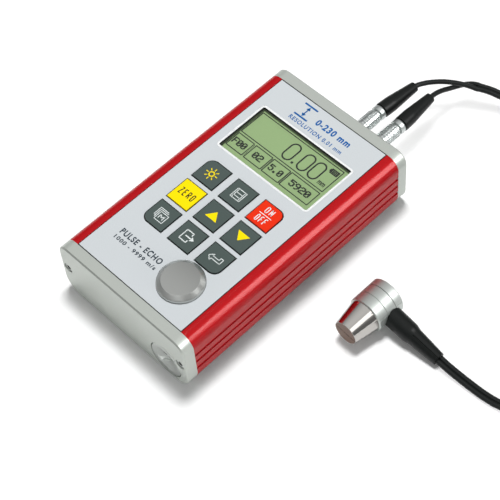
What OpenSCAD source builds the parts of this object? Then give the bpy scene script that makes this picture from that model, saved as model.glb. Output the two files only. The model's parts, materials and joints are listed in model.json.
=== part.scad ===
// Ultrasonic thickness gauge with its dual-element probe on a twin lead.
// Millimetres. The origin is the centre of the gauge's underside, +Z is up,
// +Y points to the connector end and +X to the side that holds the batteries.

/* [Body] */
// Width of the gauge
body_w = 76.2; // [75:0.1:80]
// Height of the gauge
body_h = 32; // [31.5:0.5:36]
// Length of the gauge over both end caps
body_len = 132; // [130:1:142]
// Radius of the two upper long edges
top_r = 6; // [4.5:0.1:6.5]
// Radius of the two lower long edges
bottom_r = 8.6; // [6:0.1:9.5]
// Wall of the extruded housing
wall = 1.8; // [1.5:0.1:2.2]
// Height of the uppermost side groove
groove_z = 21.2; // [19:0.1:22]
// Distance from one side groove to the next
groove_pitch = 4.85; // [3.5:0.05:5.2]
// Width of a side groove
groove_w = 1.6; // [1:0.1:1.8]

/* [End caps] */
// Thickness of an end cap
cap_t = 5.5; // [5:0.1:7]
// Bevel round the outer face of an end cap
cap_bevel = 0.6; // [0.3:0.1:1]
// Distance of an end cap screw from the side
screw_inset = 3.7; // [3.5:0.1:4.2]
// Height of the end cap screws
screw_z = 17; // [16.6:0.1:18]
// Diameter of a screw's countersunk head
screw_head_d = 4.7; // [4.2:0.1:5]
// Diameter of a screw's shank
screw_d = 2.5; // [2:0.1:3]
// Length of a screw
screw_len = 14; // [10:0.5:20]

/* [Face] */
// Width of the face overlay
overlay_w = 62; // [60:0.1:63]
// Thickness of the face overlay
overlay_t = 1; // [0.8:0.1:1.3]
// Gap between the overlay and the edges of its recess
overlay_gap = 0.35; // [0.1:0.05:0.45]
// Thickness of the housing's roof under the overlay
roof_t = 2; // [1.6:0.1:2.4]

/* [Display] */
// Width of the opening over the display
window_w = 52.3; // [48:0.1:54]
// Length of the opening over the display
window_l = 27.8; // [24:0.1:28.5]
// Sideways place of the display
window_x = 0.2; // [-1:0.1:1]
// Lengthwise place of the display
window_y = 30; // [29:0.1:32]
// Thickness of the clear pane
pane_t = 1.2; // [0.8:0.1:1.4]
// How far the pane reaches under the overlay on each side
pane_lip = 1.4; // [1:0.1:1.6]

/* [Keys] */
// Width of a key
key_w = 11.7; // [10.5:0.1:12.2]
// Length of a key
key_l = 11.8; // [10.5:0.1:12]
// Sideways distance between keys
key_pitch_x = 16.2; // [15.8:0.1:17]
// Lengthwise distance between keys
key_pitch_y = 14.7; // [14.5:0.1:15.2]
// Lengthwise place of the middle row of keys
keys_y = -12.1; // [-12.4:0.1:-11.4]
// Radius of the outer corner of each corner key
key_corner_r = 3.4; // [2:0.1:4]
// Height of a key above the overlay
key_proud = 0.35; // [0.2:0.05:0.8]
// Travel of a key
key_travel = 0.4; // [0.3:0.05:0.6]
// Height of a snap dome
dome_h = 0.5; // [0.4:0.05:0.7]

/* [Reference disc] */
// Diameter of the steel reference disc
disc_d = 20.6; // [18:0.1:20.8]
// Diameter of the disc's flat measuring face
disc_face_d = 16.4; // [12:0.1:17.5]
// Thickness of the disc
disc_t = 4; // [3:0.1:5]
// Height of the disc's conical edge
disc_bevel_h = 1.7; // [1:0.1:1.8]
// Sideways place of the disc
disc_x = 14.2; // [12:0.1:16]
// Lengthwise place of the disc
disc_y = -44.2; // [-46:0.1:-44]

/* [Batteries] */
// Diameter of a battery cell
cell_d = 14.2; // [13.8:0.1:14.5]
// Length of a battery cell over its terminal
cell_len = 50.5; // [49.5:0.1:51]
// Distance of the battery compartment's axis from the side
battery_inset = 12.9; // [12.7:0.1:13.5]
// Height of the battery compartment's axis
battery_z = 10; // [10:0.1:10.4]
// Diameter of the battery cap's head
battery_cap_d = 17.6; // [17.2:0.1:17.8]
// Thickness of the battery cap's head
battery_head_t = 2.4; // [2.2:0.1:2.8]
// Length of the battery cap's threaded shank
battery_shank = 5.2; // [4.8:0.1:6]
// Diameter of the dish in the battery cap
dish_d = 14.2; // [12:0.1:15]
// Depth of the dish in the battery cap
dish_depth = 1.1; // [0.6:0.1:1.3]
// Width of the coin slot
slot_w = 1.8; // [1.4:0.1:2.2]
// Lean of the coin slot from upright, in degrees
slot_lean = 16; // [0:1:60]

/* [Board] */
// Thickness of the circuit board
board_t = 1.6; // [1:0.1:2]
// Distance from the underside of the roof to the board
board_drop = 4.4; // [4:0.1:5]

/* [Connectors] */
// Sideways place of the first socket
socket_x = 4.4; // [2:0.1:5]
// Distance between the two sockets
socket_pitch = 11.7; // [10.5:0.1:13]
// Height of the sockets
socket_z = 16; // [15:0.1:17]
// Diameter of a plug's release sleeve
plug_d = 7; // [6.4:0.1:7.6]
// Length of a plug's release sleeve
sleeve_len = 13.7; // [12:0.1:15]
// Travel of a release sleeve
sleeve_travel = 1; // [0.8:0.1:1.2]
// Length of a plug's rear nut
nut_len = 2.6; // [2:0.1:3.5]
// Length of a plug's bend relief
boot_len = 21; // [18:0.1:24]
// Length of the relief's straight part
boot_straight = 6; // [4:0.1:8]
// Diameter of the relief at the plug
boot_d = 7.3; // [6.8:0.1:7.8]
// Diameter of the relief at the lead
boot_end_d = 4.7; // [4:0.1:5.2]

/* [Probe] */
// Diameter of the probe's contact face
face_d = 11.6; // [10:0.1:12]
// Length of the probe's conical nose
nose_len = 11.9; // [10:0.1:14]
// Diameter of the nose where it meets the case
nose_back_d = 15.6; // [14.6:0.1:16.4]
// Diameter of the probe's case
case_d = 17; // [16.5:0.1:18]
// Length of the case's front ring
ring_front = 5.4; // [4.5:0.1:6.5]
// Length of the case's middle ring
ring_middle = 5; // [4.5:0.1:6]
// Length of the case's back cover
ring_back = 4.1; // [4:0.1:5]
// Width of the grooves between the rings
ring_groove = 0.25; // [0.2:0.05:0.5]
// Height of the seam along the case, as an angle round it, in degrees
seam_turn = 21; // [18:1:24]
// Downward slope of the probe's bend relief, in degrees
relief_slope = 9; // [6:1:9]
// Length of the relief beyond the case
relief_len = 26; // [24:0.1:26.2]
// Diameter of the relief at the case
relief_d = 9.2; // [8.8:0.1:9.4]
// Diameter of the relief in front of its step
relief_front_d = 8.9; // [8.4:0.1:9.2]
// Diameter of the relief behind its step
relief_step_d = 7.7; // [7.2:0.1:8.2]
// Diameter of the relief at the cord
relief_end_d = 5.8; // [5.4:0.1:6]

/* [Cord] */
// Diameter of a single lead
lead_d = 2.3; // [2:0.1:2.4]
// Width of the twin cord
cord_w = 4.4; // [4:0.1:4.6]
// Diameter of the coil at the middle of its turns
coil_d = 48; // [46:0.5:50]
// Width of the coil's bundle of turns
coil_w = 9.4; // [9:0.1:9.8]
// Height of the coil's bundle of turns
coil_h = 7.2; // [6.8:0.1:7.6]

/* [Hidden] */

$fn = 64;
// Overlap that lets a cut break cleanly through a face
cut = 1;
// Clearance of pieces that are assembled and then stay put
seat_gap = 0.1;
// Clearance of pieces that slide or turn
run_gap = 0.3;

// Planes of the gauge
half_w = body_w / 2;
front_y = -body_len / 2;
rear_y = body_len / 2;
inner_front_y = front_y + cap_t;
inner_rear_y = rear_y - cap_t;
shell_len = body_len - 2 * cap_t;
overlay_z = body_h - overlay_t;
roof_z = overlay_z - roof_t;
board_top = roof_z - board_drop;
board_z = board_top - board_t;
groove_count = 3;

// Ribs inside the housing
rail_reach = 2.4;
rail_t = 1.2;
rail_gap = 0.2;
port_wall = 1.6;
screw_x = half_w - screw_inset;
pilot_gap = 0.05;
drive_d = 2.2;
drive_depth = 1;
screw_sink = 0.5;

// Keys
keys_per_side = 3;
key_gap = 0.3;
key_flange = 0.9;
key_flange_t = 1;
plunger_d = 4;
dome_d = 6;
dome_slack = 0.05;

// Display stack
window_pane_gap = 0.15;
lcd_gap = 0.5;
lcd_frame_w = 3;
lcd_top = overlay_z - pane_t - seat_gap;
lcd_w = window_w + 2 * pane_lip - 2 * lcd_gap;
lcd_l = window_l + 2 * pane_lip - 2 * lcd_gap;

// Battery compartment, measured inwards from the front face
battery_x = half_w - battery_inset;
cell_gap = 0.4;
sleeve_wall = 0.6;
sleeve_bore_r = cell_d / 2 + cell_gap;
sleeve_r = sleeve_bore_r + sleeve_wall;
cradle_t = 1.5;
cradle_top = 6;
cap_hole_r = cell_d / 2 + run_gap;
thread_gap = 0.25;
shank_r = cap_hole_r - thread_gap;
cap_edge = 0.3;
coin_r = 10.6;
slot_depth = 1;
shank_end = battery_head_t + battery_shank;
ring_tube_r = 0.4;
ring_bed = 0.1;
ring_groove_depth = 2 * ring_tube_r - ring_bed;
ring_offset = 1;
ring_place = battery_head_t + ring_offset;
spring_wire_d = 0.8;
spring_d = 9.2;
spring_pocket_gap = 0.4;
spring_pocket_r = spring_d / 2 + spring_wire_d / 2 + spring_pocket_gap;
spring_pocket_depth = 4;
spring_turns = 4.5;
spring_reach = 3.8;
cell_start = shank_end + spring_reach;
terminal_d = 5.4;
terminal_len = 1.3;
contact_d = 8;
contact_t = 1.2;
sleeve_floor = 1.5;
sleeve_foot = 2 * seat_gap + contact_t + sleeve_floor;
// As many cells in line as the gauge's length takes
cell_count = max(1, floor((body_len - cap_t - run_gap - sleeve_foot - cell_start) / cell_len));
cells_end = cell_start + cell_count * cell_len;
sleeve_end = cells_end + sleeve_foot;

// Connectors, measured outwards from the rear face
socket_d = 6.6;
socket_inside = 6.5;
socket_proud = 2.2;
socket_flange_d = 8.4;
socket_flange_t = 1.2;
socket_nut_d = 9.2;
socket_nut_t = 1.8;
socket_notch = 1.2;
plug_body_d = 5;
plug_depth = 8;
sleeve_front_gap = 0.4;
sleeve_start = socket_proud + sleeve_front_gap;
sleeve_end_y = sleeve_start + sleeve_len;
stop_gap = 0.2;
nut_start = sleeve_end_y + sleeve_travel + stop_gap;
boot_start = nut_start + nut_len + stop_gap;
stub_len = 2;
stub_room = 0.6;
plug_edge = 0.3;
boot_edge = 0.4;
plug_body_end = boot_start + stub_len;
grip_count = 14;
grip_w = 0.45;
grip_depth = 0.4;
grip_start = 6.5;
grip_split = 10;
boot_lean = 3;
boot_drop = 2;
lead_gap = 0.15;

// Probe, lying on its case with its face towards the near end
probe_x = 69.3;
probe_y = -5.9;
probe_z = case_d / 2;
nose_rim = 0.3;
spigot_d = 13;
spigot_len = 4;
barrier_t = 0.5;
delay_setback = 1;
delay_len = nose_len + spigot_len - delay_setback;
case_len = ring_front + ring_middle;
groove_depth = 0.35;
back_step_d = 14;
back_bevel = 0.5;
case_edge = 0.3;
case_seam = 0.2;
relief_offset = 2.7;
relief_y = probe_y + nose_len + ring_front + relief_offset;
relief_yaw = 1;
relief_root = 2.2;
relief_step_start = 9.8;
relief_step_end = 12;
relief_seam_r = 0.4;
relief_seam_turn = 24;

// Coil of spare cord and its tie
coil_x = 114;
coil_y = 100;
coil_z = 0.8;
coil_edge_r = 1.2;
tie_w = 9;
tie_t = 0.6;
tie_turn = 200;

// Routes of the leads and of the twin cord, as they lie
lead_a_route = [
    [5.1, 100.3, 15.5], [5.5, 107.3, 15.3], [7.2, 111.4, 15.2], [9.9, 115.3, 15], [13, 118.8, 14.6],
    [16.4, 121.9, 13.9], [19.9, 124.6, 13], [22.5, 126.3, 12.2], [24.9, 127.6, 11.4]
];
lead_b_route = [
    [15.4, 100.3, 15.5], [15, 107.3, 15.3], [14.9, 111.4, 14.6], [15.2, 115.3, 13.3], [15.8, 119, 11.8],
    [16.7, 122.4, 10.8], [18.4, 126, 10.5], [20.8, 128.5, 10.9], [23.7, 129.9, 11.3]
];
gauge_side_route = [
    [24.6, 128.9, 11.3], [29, 131.4, 10.4], [33.7, 133.6, 9], [39.5, 135.7, 7.2], [46, 137.2, 5.4],
    [54, 137.9, 3.6], [63, 137.2, 2.5], [72, 134.8, 2.1], [81, 131.2, 2], [90, 128, 2], [97.6, 126.6, 2]
];
probe_side_route = [
    [140.4, 83.6, 5.2], [141, 76, 4], [142.4, 67, 2.8], [145, 57.5, 1.9], [148, 48.5, 1.4],
    [150, 40, 1.3], [150, 31.5, 1.3], [147, 23.8, 1.3], [141.2, 18, 1.3], [134.5, 15.2, 1.3],
    [127.5, 14.1, 1.3], [120.5, 13.8, 1.4], [114, 13.6, 1.8], [108.5, 13.5, 2.4], [103.55, 13.5, 3.1]
];

// Colours
red = [0.72, 0.07, 0.12];
silver = [0.72, 0.75, 0.72];
pale_grey = [0.83, 0.85, 0.87];
dark_grey = [0.33, 0.37, 0.36];
yellow = [0.98, 0.86, 0.05];
orange_red = [0.9, 0.2, 0.08];
lcd_green = [0.6, 0.69, 0.5];
nickel = [0.82, 0.84, 0.85];
black = [0.1, 0.11, 0.11];

// Section of the housing and of the end caps, drawn in X and Z
module body_section(inset = 0, low_r = bottom_r, high_r = top_r) {
    w = body_w - 2 * inset;
    top = body_h - inset;
    translate([-w / 2, inset + low_r])
        square([w, top - inset - low_r - high_r]);
    translate([-w / 2 + high_r, top - high_r])
        square([w - 2 * high_r, high_r]);
    translate([-w / 2 + low_r, inset])
        square([w - 2 * low_r, low_r]);
    for (side = [-1, 1]) {
        translate([side * (w / 2 - high_r), top - high_r])
            circle(high_r);
        translate([side * (w / 2 - low_r), inset + low_r])
            circle(low_r);
    }
}

// Runs a section drawn in X and Z along Y, from y_start over a length
module along_y(y_start, length) {
    translate([0, y_start + length, 0])
        rotate([90, 0, 0])
            linear_extrude(length)
                children();
}

// Places a piece drawn round Z on an axis that points along +Y
module round_y(x, y, z) {
    translate([x, y, z])
        rotate([-90, 0, 0])
            children();
}

// Hollow of the housing, under the roof
module cavity_section() {
    intersection() {
        body_section(wall, bottom_r - wall, top_r - wall);
        translate([-half_w, 0])
            square([body_w, roof_z]);
    }
}

// Ribs that guide the circuit board, take the screws and cradle the battery sleeve
module rib_section() {
    for (side = [-1, 1]) {
        for (z = [board_z - rail_t, board_top + rail_gap]) {
            translate([side > 0 ? half_w - wall - rail_reach : wall / 2 - half_w, z])
                square([rail_reach + wall / 2, rail_t]);
        }
        translate([side * screw_x, screw_z])
            circle(screw_d / 2 + port_wall);
    }
    intersection() {
        translate([battery_x, battery_z])
            difference() {
                circle(sleeve_r + seat_gap + cradle_t);
                circle(sleeve_r + seat_gap);
            }
        translate([0, wall / 2])
            square([half_w, cradle_top - wall / 2]);
    }
}

module housing_section() {
    difference() {
        union() {
            difference() {
                body_section();
                cavity_section();
            }
            intersection() {
                rib_section();
                body_section();
            }
        }
        translate([-overlay_w / 2 - overlay_gap, overlay_z])
            square([overlay_w + 2 * overlay_gap, overlay_t + cut]);
        for (side = [-1, 1]) {
            translate([side * screw_x, screw_z])
                circle(screw_d / 2 + pilot_gap);
            for (i = [0 : groove_count - 1]) {
                translate([side * half_w, groove_z - i * groove_pitch])
                    circle(groove_w / 2);
            }
        }
    }
}

// Outline of a key; the keys at the corners of the block have one round corner
module key_outline(col, row, grow = 0) {
    w = key_w + 2 * grow;
    l = key_l + 2 * grow;
    r = key_corner_r + grow;
    if (col == 1 || row == 1) {
        square([w, l], center = true);
    } else {
        mirror([col == 0 ? 1 : 0, 0])
            mirror([0, row == 2 ? 1 : 0]) {
                translate([-w / 2, -l / 2])
                    square([w - r, l]);
                translate([-w / 2, -l / 2])
                    square([w, l - r]);
                translate([w / 2 - r, l / 2 - r])
                    circle(r);
            }
    }
}

// Puts a piece at a key's place; columns and rows count from the display's left corner
module at_key(col, row) {
    translate([(col - 1) * key_pitch_x, keys_y + (1 - row) * key_pitch_y, 0])
        children();
}

// Openings of the face, cut through a plate between two heights
module face_openings(low, high, key_grow, window_grow) {
    translate([window_x, window_y, (low + high) / 2])
        cube([window_w + 2 * window_grow, window_l + 2 * window_grow, high - low], center = true);
    for (col = [0 : keys_per_side - 1], row = [0 : keys_per_side - 1]) {
        at_key(col, row)
            translate([0, 0, low])
                linear_extrude(high - low)
                    key_outline(col, row, key_grow);
    }
}

module housing_extrusion() {
    color(red)
        difference() {
            along_y(inner_front_y, shell_len)
                housing_section();
            face_openings(roof_z - cut, overlay_z + cut, key_gap, pane_lip);
        }
}

// Bevelled plate of an end cap, with its outer face at the front
module end_cap_plate() {
    hull() {
        along_y(front_y + cap_bevel, cap_t - cap_bevel)
            body_section();
        along_y(front_y, cap_t)
            body_section(cap_bevel, bottom_r - cap_bevel, top_r - cap_bevel);
    }
}

// Countersunk hole or screw blank, entered from a face at the front
module countersunk(head_r, shank_r, length) {
    taper = head_r - shank_r;
    translate([0, 0, screw_sink])
        cylinder(r1 = head_r, r2 = shank_r, h = taper);
    translate([0, 0, screw_sink])
        cylinder(r = shank_r, h = length);
}

module cap_screw_holes() {
    for (side = [-1, 1]) {
        round_y(side * screw_x, front_y, screw_z) {
            countersunk(screw_head_d / 2 + seat_gap, screw_d / 2 + seat_gap, cap_t + cut);
            translate([0, 0, -cut])
                cylinder(r = screw_head_d / 2 + seat_gap, h = screw_sink + cut);
        }
    }
}

module cap_screws() {
    for (side = [-1, 1]) {
        round_y(side * screw_x, front_y, screw_z)
            difference() {
                countersunk(screw_head_d / 2, screw_d / 2, screw_len);
                translate([0, 0, screw_sink - cut])
                    cylinder(d = drive_d, h = drive_depth + cut, $fn = 6);
            }
    }
}

// Turns what is drawn at the front end round to the rear end
module at_rear_end() {
    mirror([0, 1, 0])
        children();
}

module front_end_cap() {
    color(silver)
        difference() {
            end_cap_plate();
            cap_screw_holes();
            round_y(battery_x, front_y, battery_z) {
                translate([0, 0, -cut])
                    cylinder(r = battery_cap_d / 2 + run_gap, h = battery_head_t + seat_gap + cut);
                cylinder(r = cap_hole_r, h = cap_t + cut);
            }
        }
}

module rear_end_cap() {
    color(silver)
        difference() {
            at_rear_end() {
                difference() {
                    end_cap_plate();
                    cap_screw_holes();
                }
            }
            for (i = [0, 1]) {
                round_y(socket_x + i * socket_pitch, inner_rear_y - cut, socket_z)
                    cylinder(d = socket_d + 2 * seat_gap, h = cap_t + 2 * cut);
            }
        }
}

module front_screws() {
    color(nickel)
        cap_screws();
}

module rear_screws() {
    color(nickel)
        at_rear_end()
            cap_screws();
}

module face_overlay() {
    color(pale_grey)
        difference() {
            translate([-overlay_w / 2, inner_front_y + overlay_gap, overlay_z])
                cube([overlay_w, shell_len - 2 * overlay_gap, overlay_t]);
            face_openings(overlay_z - cut, body_h + cut, key_gap, 0);
            translate([disc_x, disc_y, overlay_z - cut])
                cylinder(d = disc_d + 2 * seat_gap, h = overlay_t + 2 * cut);
        }
}

module display_pane() {
    grow = pane_lip - window_pane_gap;
    color([0.9, 0.95, 0.92, 0.4])
        translate([window_x, window_y, overlay_z - pane_t / 2])
            cube([window_w + 2 * grow, window_l + 2 * grow, pane_t], center = true);
}

module lcd_module() {
    color(lcd_green)
        translate([window_x - lcd_w / 2, window_y - lcd_l / 2, board_top])
            cube([lcd_w, lcd_l, lcd_top - board_top]);
}

module lcd_frame() {
    frame_h = board_drop - seat_gap;
    opening_w = lcd_w + 2 * seat_gap;
    opening_l = lcd_l + 2 * seat_gap;
    color(silver)
        translate([window_x, window_y, board_top + frame_h / 2])
            difference() {
                cube([opening_w + 2 * lcd_frame_w, opening_l + 2 * lcd_frame_w, frame_h], center = true);
                cube([opening_w, opening_l, frame_h + 2 * cut], center = true);
            }
}

module main_board() {
    board_w = body_w - 2 * wall - 2 * run_gap;
    color([0.1, 0.35, 0.2])
        translate([-board_w / 2, inner_front_y + run_gap, board_z])
            cube([board_w, shell_len - 2 * run_gap, board_t]);
}

// Snap domes on the board, one under each key
module key_domes() {
    ball_r = (pow(dome_d / 2, 2) + pow(dome_h, 2)) / (2 * dome_h);
    color(nickel)
        for (col = [0 : keys_per_side - 1], row = [0 : keys_per_side - 1]) {
            at_key(col, row)
                translate([0, 0, board_top])
                    intersection() {
                        translate([0, 0, dome_h - ball_r])
                            sphere(ball_r, $fn = 200);
                        cylinder(d = dome_d + cut, h = dome_h + cut);
                    }
        }
}

// A key: its visible pad, the flange that keeps it in and the plunger over its dome
module key(col, row, tint) {
    flange_top = roof_z - run_gap;
    plunger_z = board_top + dome_h + key_travel + dome_slack;
    color(tint)
        at_key(col, row) {
            translate([0, 0, flange_top])
                linear_extrude(body_h + key_proud - flange_top)
                    key_outline(col, row);
            translate([0, 0, flange_top - key_flange_t])
                linear_extrude(key_flange_t)
                    key_outline(col, row, key_flange);
            translate([0, 0, plunger_z])
                cylinder(d = plunger_d, h = flange_top - plunger_z);
        }
}

module reference_disc() {
    color(nickel)
        translate([disc_x, disc_y, overlay_z])
            rotate_extrude()
                polygon([
                    [0, 0],
                    [disc_d / 2, 0],
                    [disc_d / 2, disc_t - disc_bevel_h],
                    [disc_face_d / 2, disc_t],
                    [0, disc_t]
                ]);
}

// Puts a piece drawn round Z on the battery compartment's axis, from the front face inwards
module at_battery() {
    round_y(battery_x, front_y, battery_z)
        children();
}

module battery_sleeve() {
    color(black)
        at_battery()
            difference() {
                translate([0, 0, cap_t])
                    cylinder(r = sleeve_r, h = sleeve_end - cap_t);
                translate([0, 0, cap_t - cut])
                    cylinder(r = sleeve_bore_r, h = sleeve_end - sleeve_floor - cap_t + cut);
            }
}

module battery_cells() {
    color([0.25, 0.3, 0.4])
        at_battery()
            for (i = [0 : cell_count - 1]) {
                translate([0, 0, cell_start + i * cell_len]) {
                    cylinder(d = cell_d, h = cell_len - terminal_len);
                    cylinder(d = terminal_d, h = cell_len);
                }
            }
}

module battery_contact() {
    color([0.8, 0.65, 0.3])
        at_battery()
            translate([0, 0, cells_end + seat_gap])
                cylinder(d = contact_d, h = contact_t);
}

module battery_cap() {
    ring_r = shank_r - ring_groove_depth;
    pocket_z = shank_end - spring_pocket_depth;
    dish_r = (pow(dish_d / 2, 2) + pow(dish_depth, 2)) / (2 * dish_depth);
    color(silver)
        at_battery()
            difference() {
                rotate_extrude()
                    polygon([
                        [0, 0],
                        [battery_cap_d / 2 - cap_edge, 0],
                        [battery_cap_d / 2, cap_edge],
                        [battery_cap_d / 2, battery_head_t],
                        [shank_r, battery_head_t],
                        [shank_r, ring_place - ring_tube_r],
                        [ring_r, ring_place - ring_tube_r],
                        [ring_r, ring_place + 3 * ring_tube_r],
                        [shank_r, ring_place + 3 * ring_tube_r],
                        [shank_r, shank_end],
                        [spring_pocket_r, shank_end],
                        [spring_pocket_r, pocket_z],
                        [0, pocket_z]
                    ]);
                translate([0, 0, dish_depth - dish_r])
                    sphere(dish_r);
                rotate([0, 0, slot_lean])
                    translate([0, 0, dish_depth + slot_depth - coin_r])
                        rotate([0, 90, 0])
                            cylinder(r = coin_r, h = slot_w, center = true);
            }
}

module cap_o_ring() {
    color(black)
        at_battery()
            translate([0, 0, ring_place + ring_tube_r])
                rotate_extrude()
                    translate([cap_hole_r - seat_gap - ring_tube_r, 0])
                        circle(ring_tube_r, $fn = 24);
}

// Tube swept along points; its section is an octagon of a given width and height
function unit(v) = v / norm(v);
function heading(route, i) = unit(route[min(i + 1, len(route) - 1)] - route[max(i - 1, 0)]);
function ring_points(p, t, w, h, n) =
    let (side = unit(cross(t, [0, 0, 1])), up = cross(side, t), flat = cos(180 / n))
    [for (j = [0 : n - 1])
        let (a = 360 * (j + 0.5) / n)
        p + side * cos(a) * w / 2 / flat + up * sin(a) * h / 2 / flat];

module swept_tube(route, w, h, n = 8) {
    last = len(route) - 1;
    points = [for (i = [0 : last]) each ring_points(route[i], heading(route, i), w, h, n)];
    walls = [
        for (i = [0 : last - 1], j = [0 : n - 1])
            let (a = i * n + j, b = i * n + (j + 1) % n)
            each [[a, b, b + n], [a, b + n, a + n]]
    ];
    start_face = [for (j = [n - 1 : -1 : 0]) j];
    end_face = [for (j = [0 : n - 1]) last * n + j];
    polyhedron(points, concat([start_face], walls, [end_face]));
}

// Compression spring between the battery cap and the first cell
module battery_spring() {
    low = shank_end - spring_pocket_depth + spring_wire_d / 2 + seat_gap;
    high = cell_start - spring_wire_d / 2 - seat_gap;
    steps = 60;
    route = [
        for (i = [0 : steps])
            let (a = 360 * spring_turns * i / steps, share = i / steps)
            [spring_d / 2 * cos(a), spring_d / 2 * sin(a), low + (high - low) * share]
    ];
    color(nickel)
        at_battery()
            swept_tube(route, spring_wire_d, spring_wire_d, 6);
}

// Puts a piece drawn round Z on a socket's axis, from the rear face outwards
module at_socket(i) {
    round_y(socket_x + i * socket_pitch, rear_y, socket_z)
        children();
}

module socket(i) {
    inside = cap_t + socket_inside;
    color(nickel)
        at_socket(i)
            difference() {
                union() {
                    translate([0, 0, -inside])
                        cylinder(d = socket_d, h = inside + socket_proud);
                    translate([0, 0, -cap_t - socket_flange_t])
                        cylinder(d = socket_flange_d, h = socket_flange_t);
                }
                translate([0, 0, -plug_depth - seat_gap])
                    cylinder(d = plug_body_d + 2 * seat_gap, h = plug_depth + socket_proud + cut);
            }
}

module socket_nut(i) {
    color(nickel)
        at_socket(i)
            difference() {
                cylinder(d = socket_nut_d, h = socket_nut_t);
                translate([0, 0, -cut])
                    cylinder(d = socket_d + 2 * seat_gap, h = socket_nut_t + 2 * cut);
                for (turn = [0, 90]) {
                    rotate([0, 0, turn])
                        translate([0, 0, socket_nut_t])
                            cube([socket_nut_d + cut, socket_notch, socket_notch], center = true);
                }
            }
}

module plug_body(i) {
    color(nickel)
        at_socket(i)
            difference() {
                translate([0, 0, -plug_depth])
                    cylinder(d = plug_body_d, h = plug_depth + plug_body_end);
                translate([0, 0, boot_start])
                    cylinder(d = lead_d + 4 * lead_gap, h = stub_len + cut);
            }
}

// Release sleeve with rows of rectangular grip pads
module plug_sleeve(i) {
    edge = plug_edge;
    r = plug_d / 2;
    color(nickel)
        at_socket(i)
            translate([0, 0, sleeve_start])
                difference() {
                    rotate_extrude()
                        polygon([
                            [plug_body_d / 2 + run_gap, 0],
                            [r - edge, 0],
                            [r, edge],
                            [r, grip_split],
                            [r - grip_depth, grip_split],
                            [r - grip_depth, grip_split + grip_w],
                            [r, grip_split + grip_w],
                            [r, sleeve_len - edge],
                            [r - edge, sleeve_len],
                            [plug_body_d / 2 + run_gap, sleeve_len]
                        ]);
                    for (k = [0 : grip_count - 1]) {
                        rotate([0, 0, 360 * k / grip_count])
                            translate([r - grip_depth, -grip_w / 2, grip_start])
                                cube([grip_depth + cut, grip_w, sleeve_len - grip_start + cut]);
                    }
                }
}

module plug_nut(i) {
    edge = plug_edge;
    color(nickel)
        at_socket(i)
            translate([0, 0, nut_start])
                rotate_extrude()
                    polygon([
                        [plug_body_d / 2 + seat_gap, 0],
                        [plug_d / 2 - edge, 0],
                        [plug_d / 2, edge],
                        [plug_d / 2, nut_len - edge],
                        [plug_d / 2 - edge, nut_len],
                        [plug_body_d / 2 + seat_gap, nut_len]
                    ]);
}

// Bend relief of a plug; the two lean towards each other and droop a little
module plug_boot(i) {
    mouth = stub_len + stub_room;
    bore_r = lead_d / 2 + lead_gap;
    edge = boot_edge;
    color(black)
        translate([socket_x + i * socket_pitch, rear_y + boot_start, socket_z])
            rotate([-boot_drop, 0, i == 0 ? -boot_lean : boot_lean])
                rotate([-90, 0, 0])
                    rotate_extrude()
                        polygon([
                            [plug_body_d / 2 + run_gap, 0],
                            [boot_d / 2 - edge, 0],
                            [boot_d / 2, edge],
                            [boot_d / 2, boot_straight],
                            [boot_end_d / 2, boot_len],
                            [bore_r, boot_len],
                            [bore_r, mouth],
                            [plug_body_d / 2 + run_gap, mouth]
                        ]);
}

module lead_a() {
    color(black)
        swept_tube(lead_a_route, lead_d, lead_d);
}

module lead_b() {
    color(black)
        swept_tube(lead_b_route, lead_d, lead_d);
}

module cord_gauge_side() {
    color(black)
        swept_tube(gauge_side_route, cord_w, lead_d);
}

module cord_probe_side() {
    color(black)
        swept_tube(probe_side_route, cord_w, lead_d);
}

// Outer shape of the coil of spare cord
module cord_coil() {
    r = coil_edge_r;
    color(black)
        translate([coil_x, coil_y, coil_z])
            rotate_extrude()
                translate([coil_d / 2 - coil_w / 2, 0]) {
                    translate([r, 0])
                        square([coil_w - 2 * r, coil_h]);
                    translate([0, r])
                        square([coil_w, coil_h - 2 * r]);
                    for (x = [r, coil_w - r], z = [r, coil_h - r]) {
                        translate([x, z])
                            circle(r, $fn = 24);
                    }
                }
}

// Strap round the coil's bundle of turns
module cord_tie() {
    bow = pow(tie_w, 2) / (8 * (coil_d / 2 - coil_w / 2));
    inner_w = coil_w + 2 * bow + 2 * seat_gap;
    inner_h = coil_h + 2 * seat_gap;
    color(black)
        translate([coil_x, coil_y, coil_z + coil_h / 2])
            rotate([0, 0, tie_turn])
                translate([coil_d / 2, 0, 0])
                    difference() {
                        cube([inner_w + 2 * tie_t, tie_w, inner_h + 2 * tie_t], center = true);
                        cube([inner_w, tie_w + 2 * cut, inner_h], center = true);
                    }
}

// Puts a piece drawn round Z on the probe's axis, from the contact face backwards
module at_probe() {
    round_y(probe_x, probe_y, probe_z)
        children();
}

// Blade that scores the seam along the case
module seam_blade() {
    rotate([0, 0, -seam_turn])
        translate([case_d / 2 - case_seam, -case_seam / 2, 0])
            cube([case_d, case_seam, 2 * case_d]);
}

module probe_nose() {
    bore_r = face_d / 2 - nose_rim;
    color(nickel)
        at_probe()
            rotate_extrude()
                polygon([
                    [bore_r, 0],
                    [face_d / 2, 0],
                    [nose_back_d / 2, nose_len],
                    [spigot_d / 2, nose_len],
                    [spigot_d / 2, nose_len + spigot_len],
                    [bore_r, nose_len + spigot_len]
                ]);
}

// The two halves of the delay line, on either side of the sound barrier
module probe_delay_blocks() {
    color([0.42, 0.32, 0.26])
        at_probe()
            difference() {
                cylinder(r = face_d / 2 - nose_rim - pilot_gap, h = delay_len);
                rotate([0, 0, relief_slope])
                    cube([2 * face_d, barrier_t, 3 * delay_len], center = true);
            }
}

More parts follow.
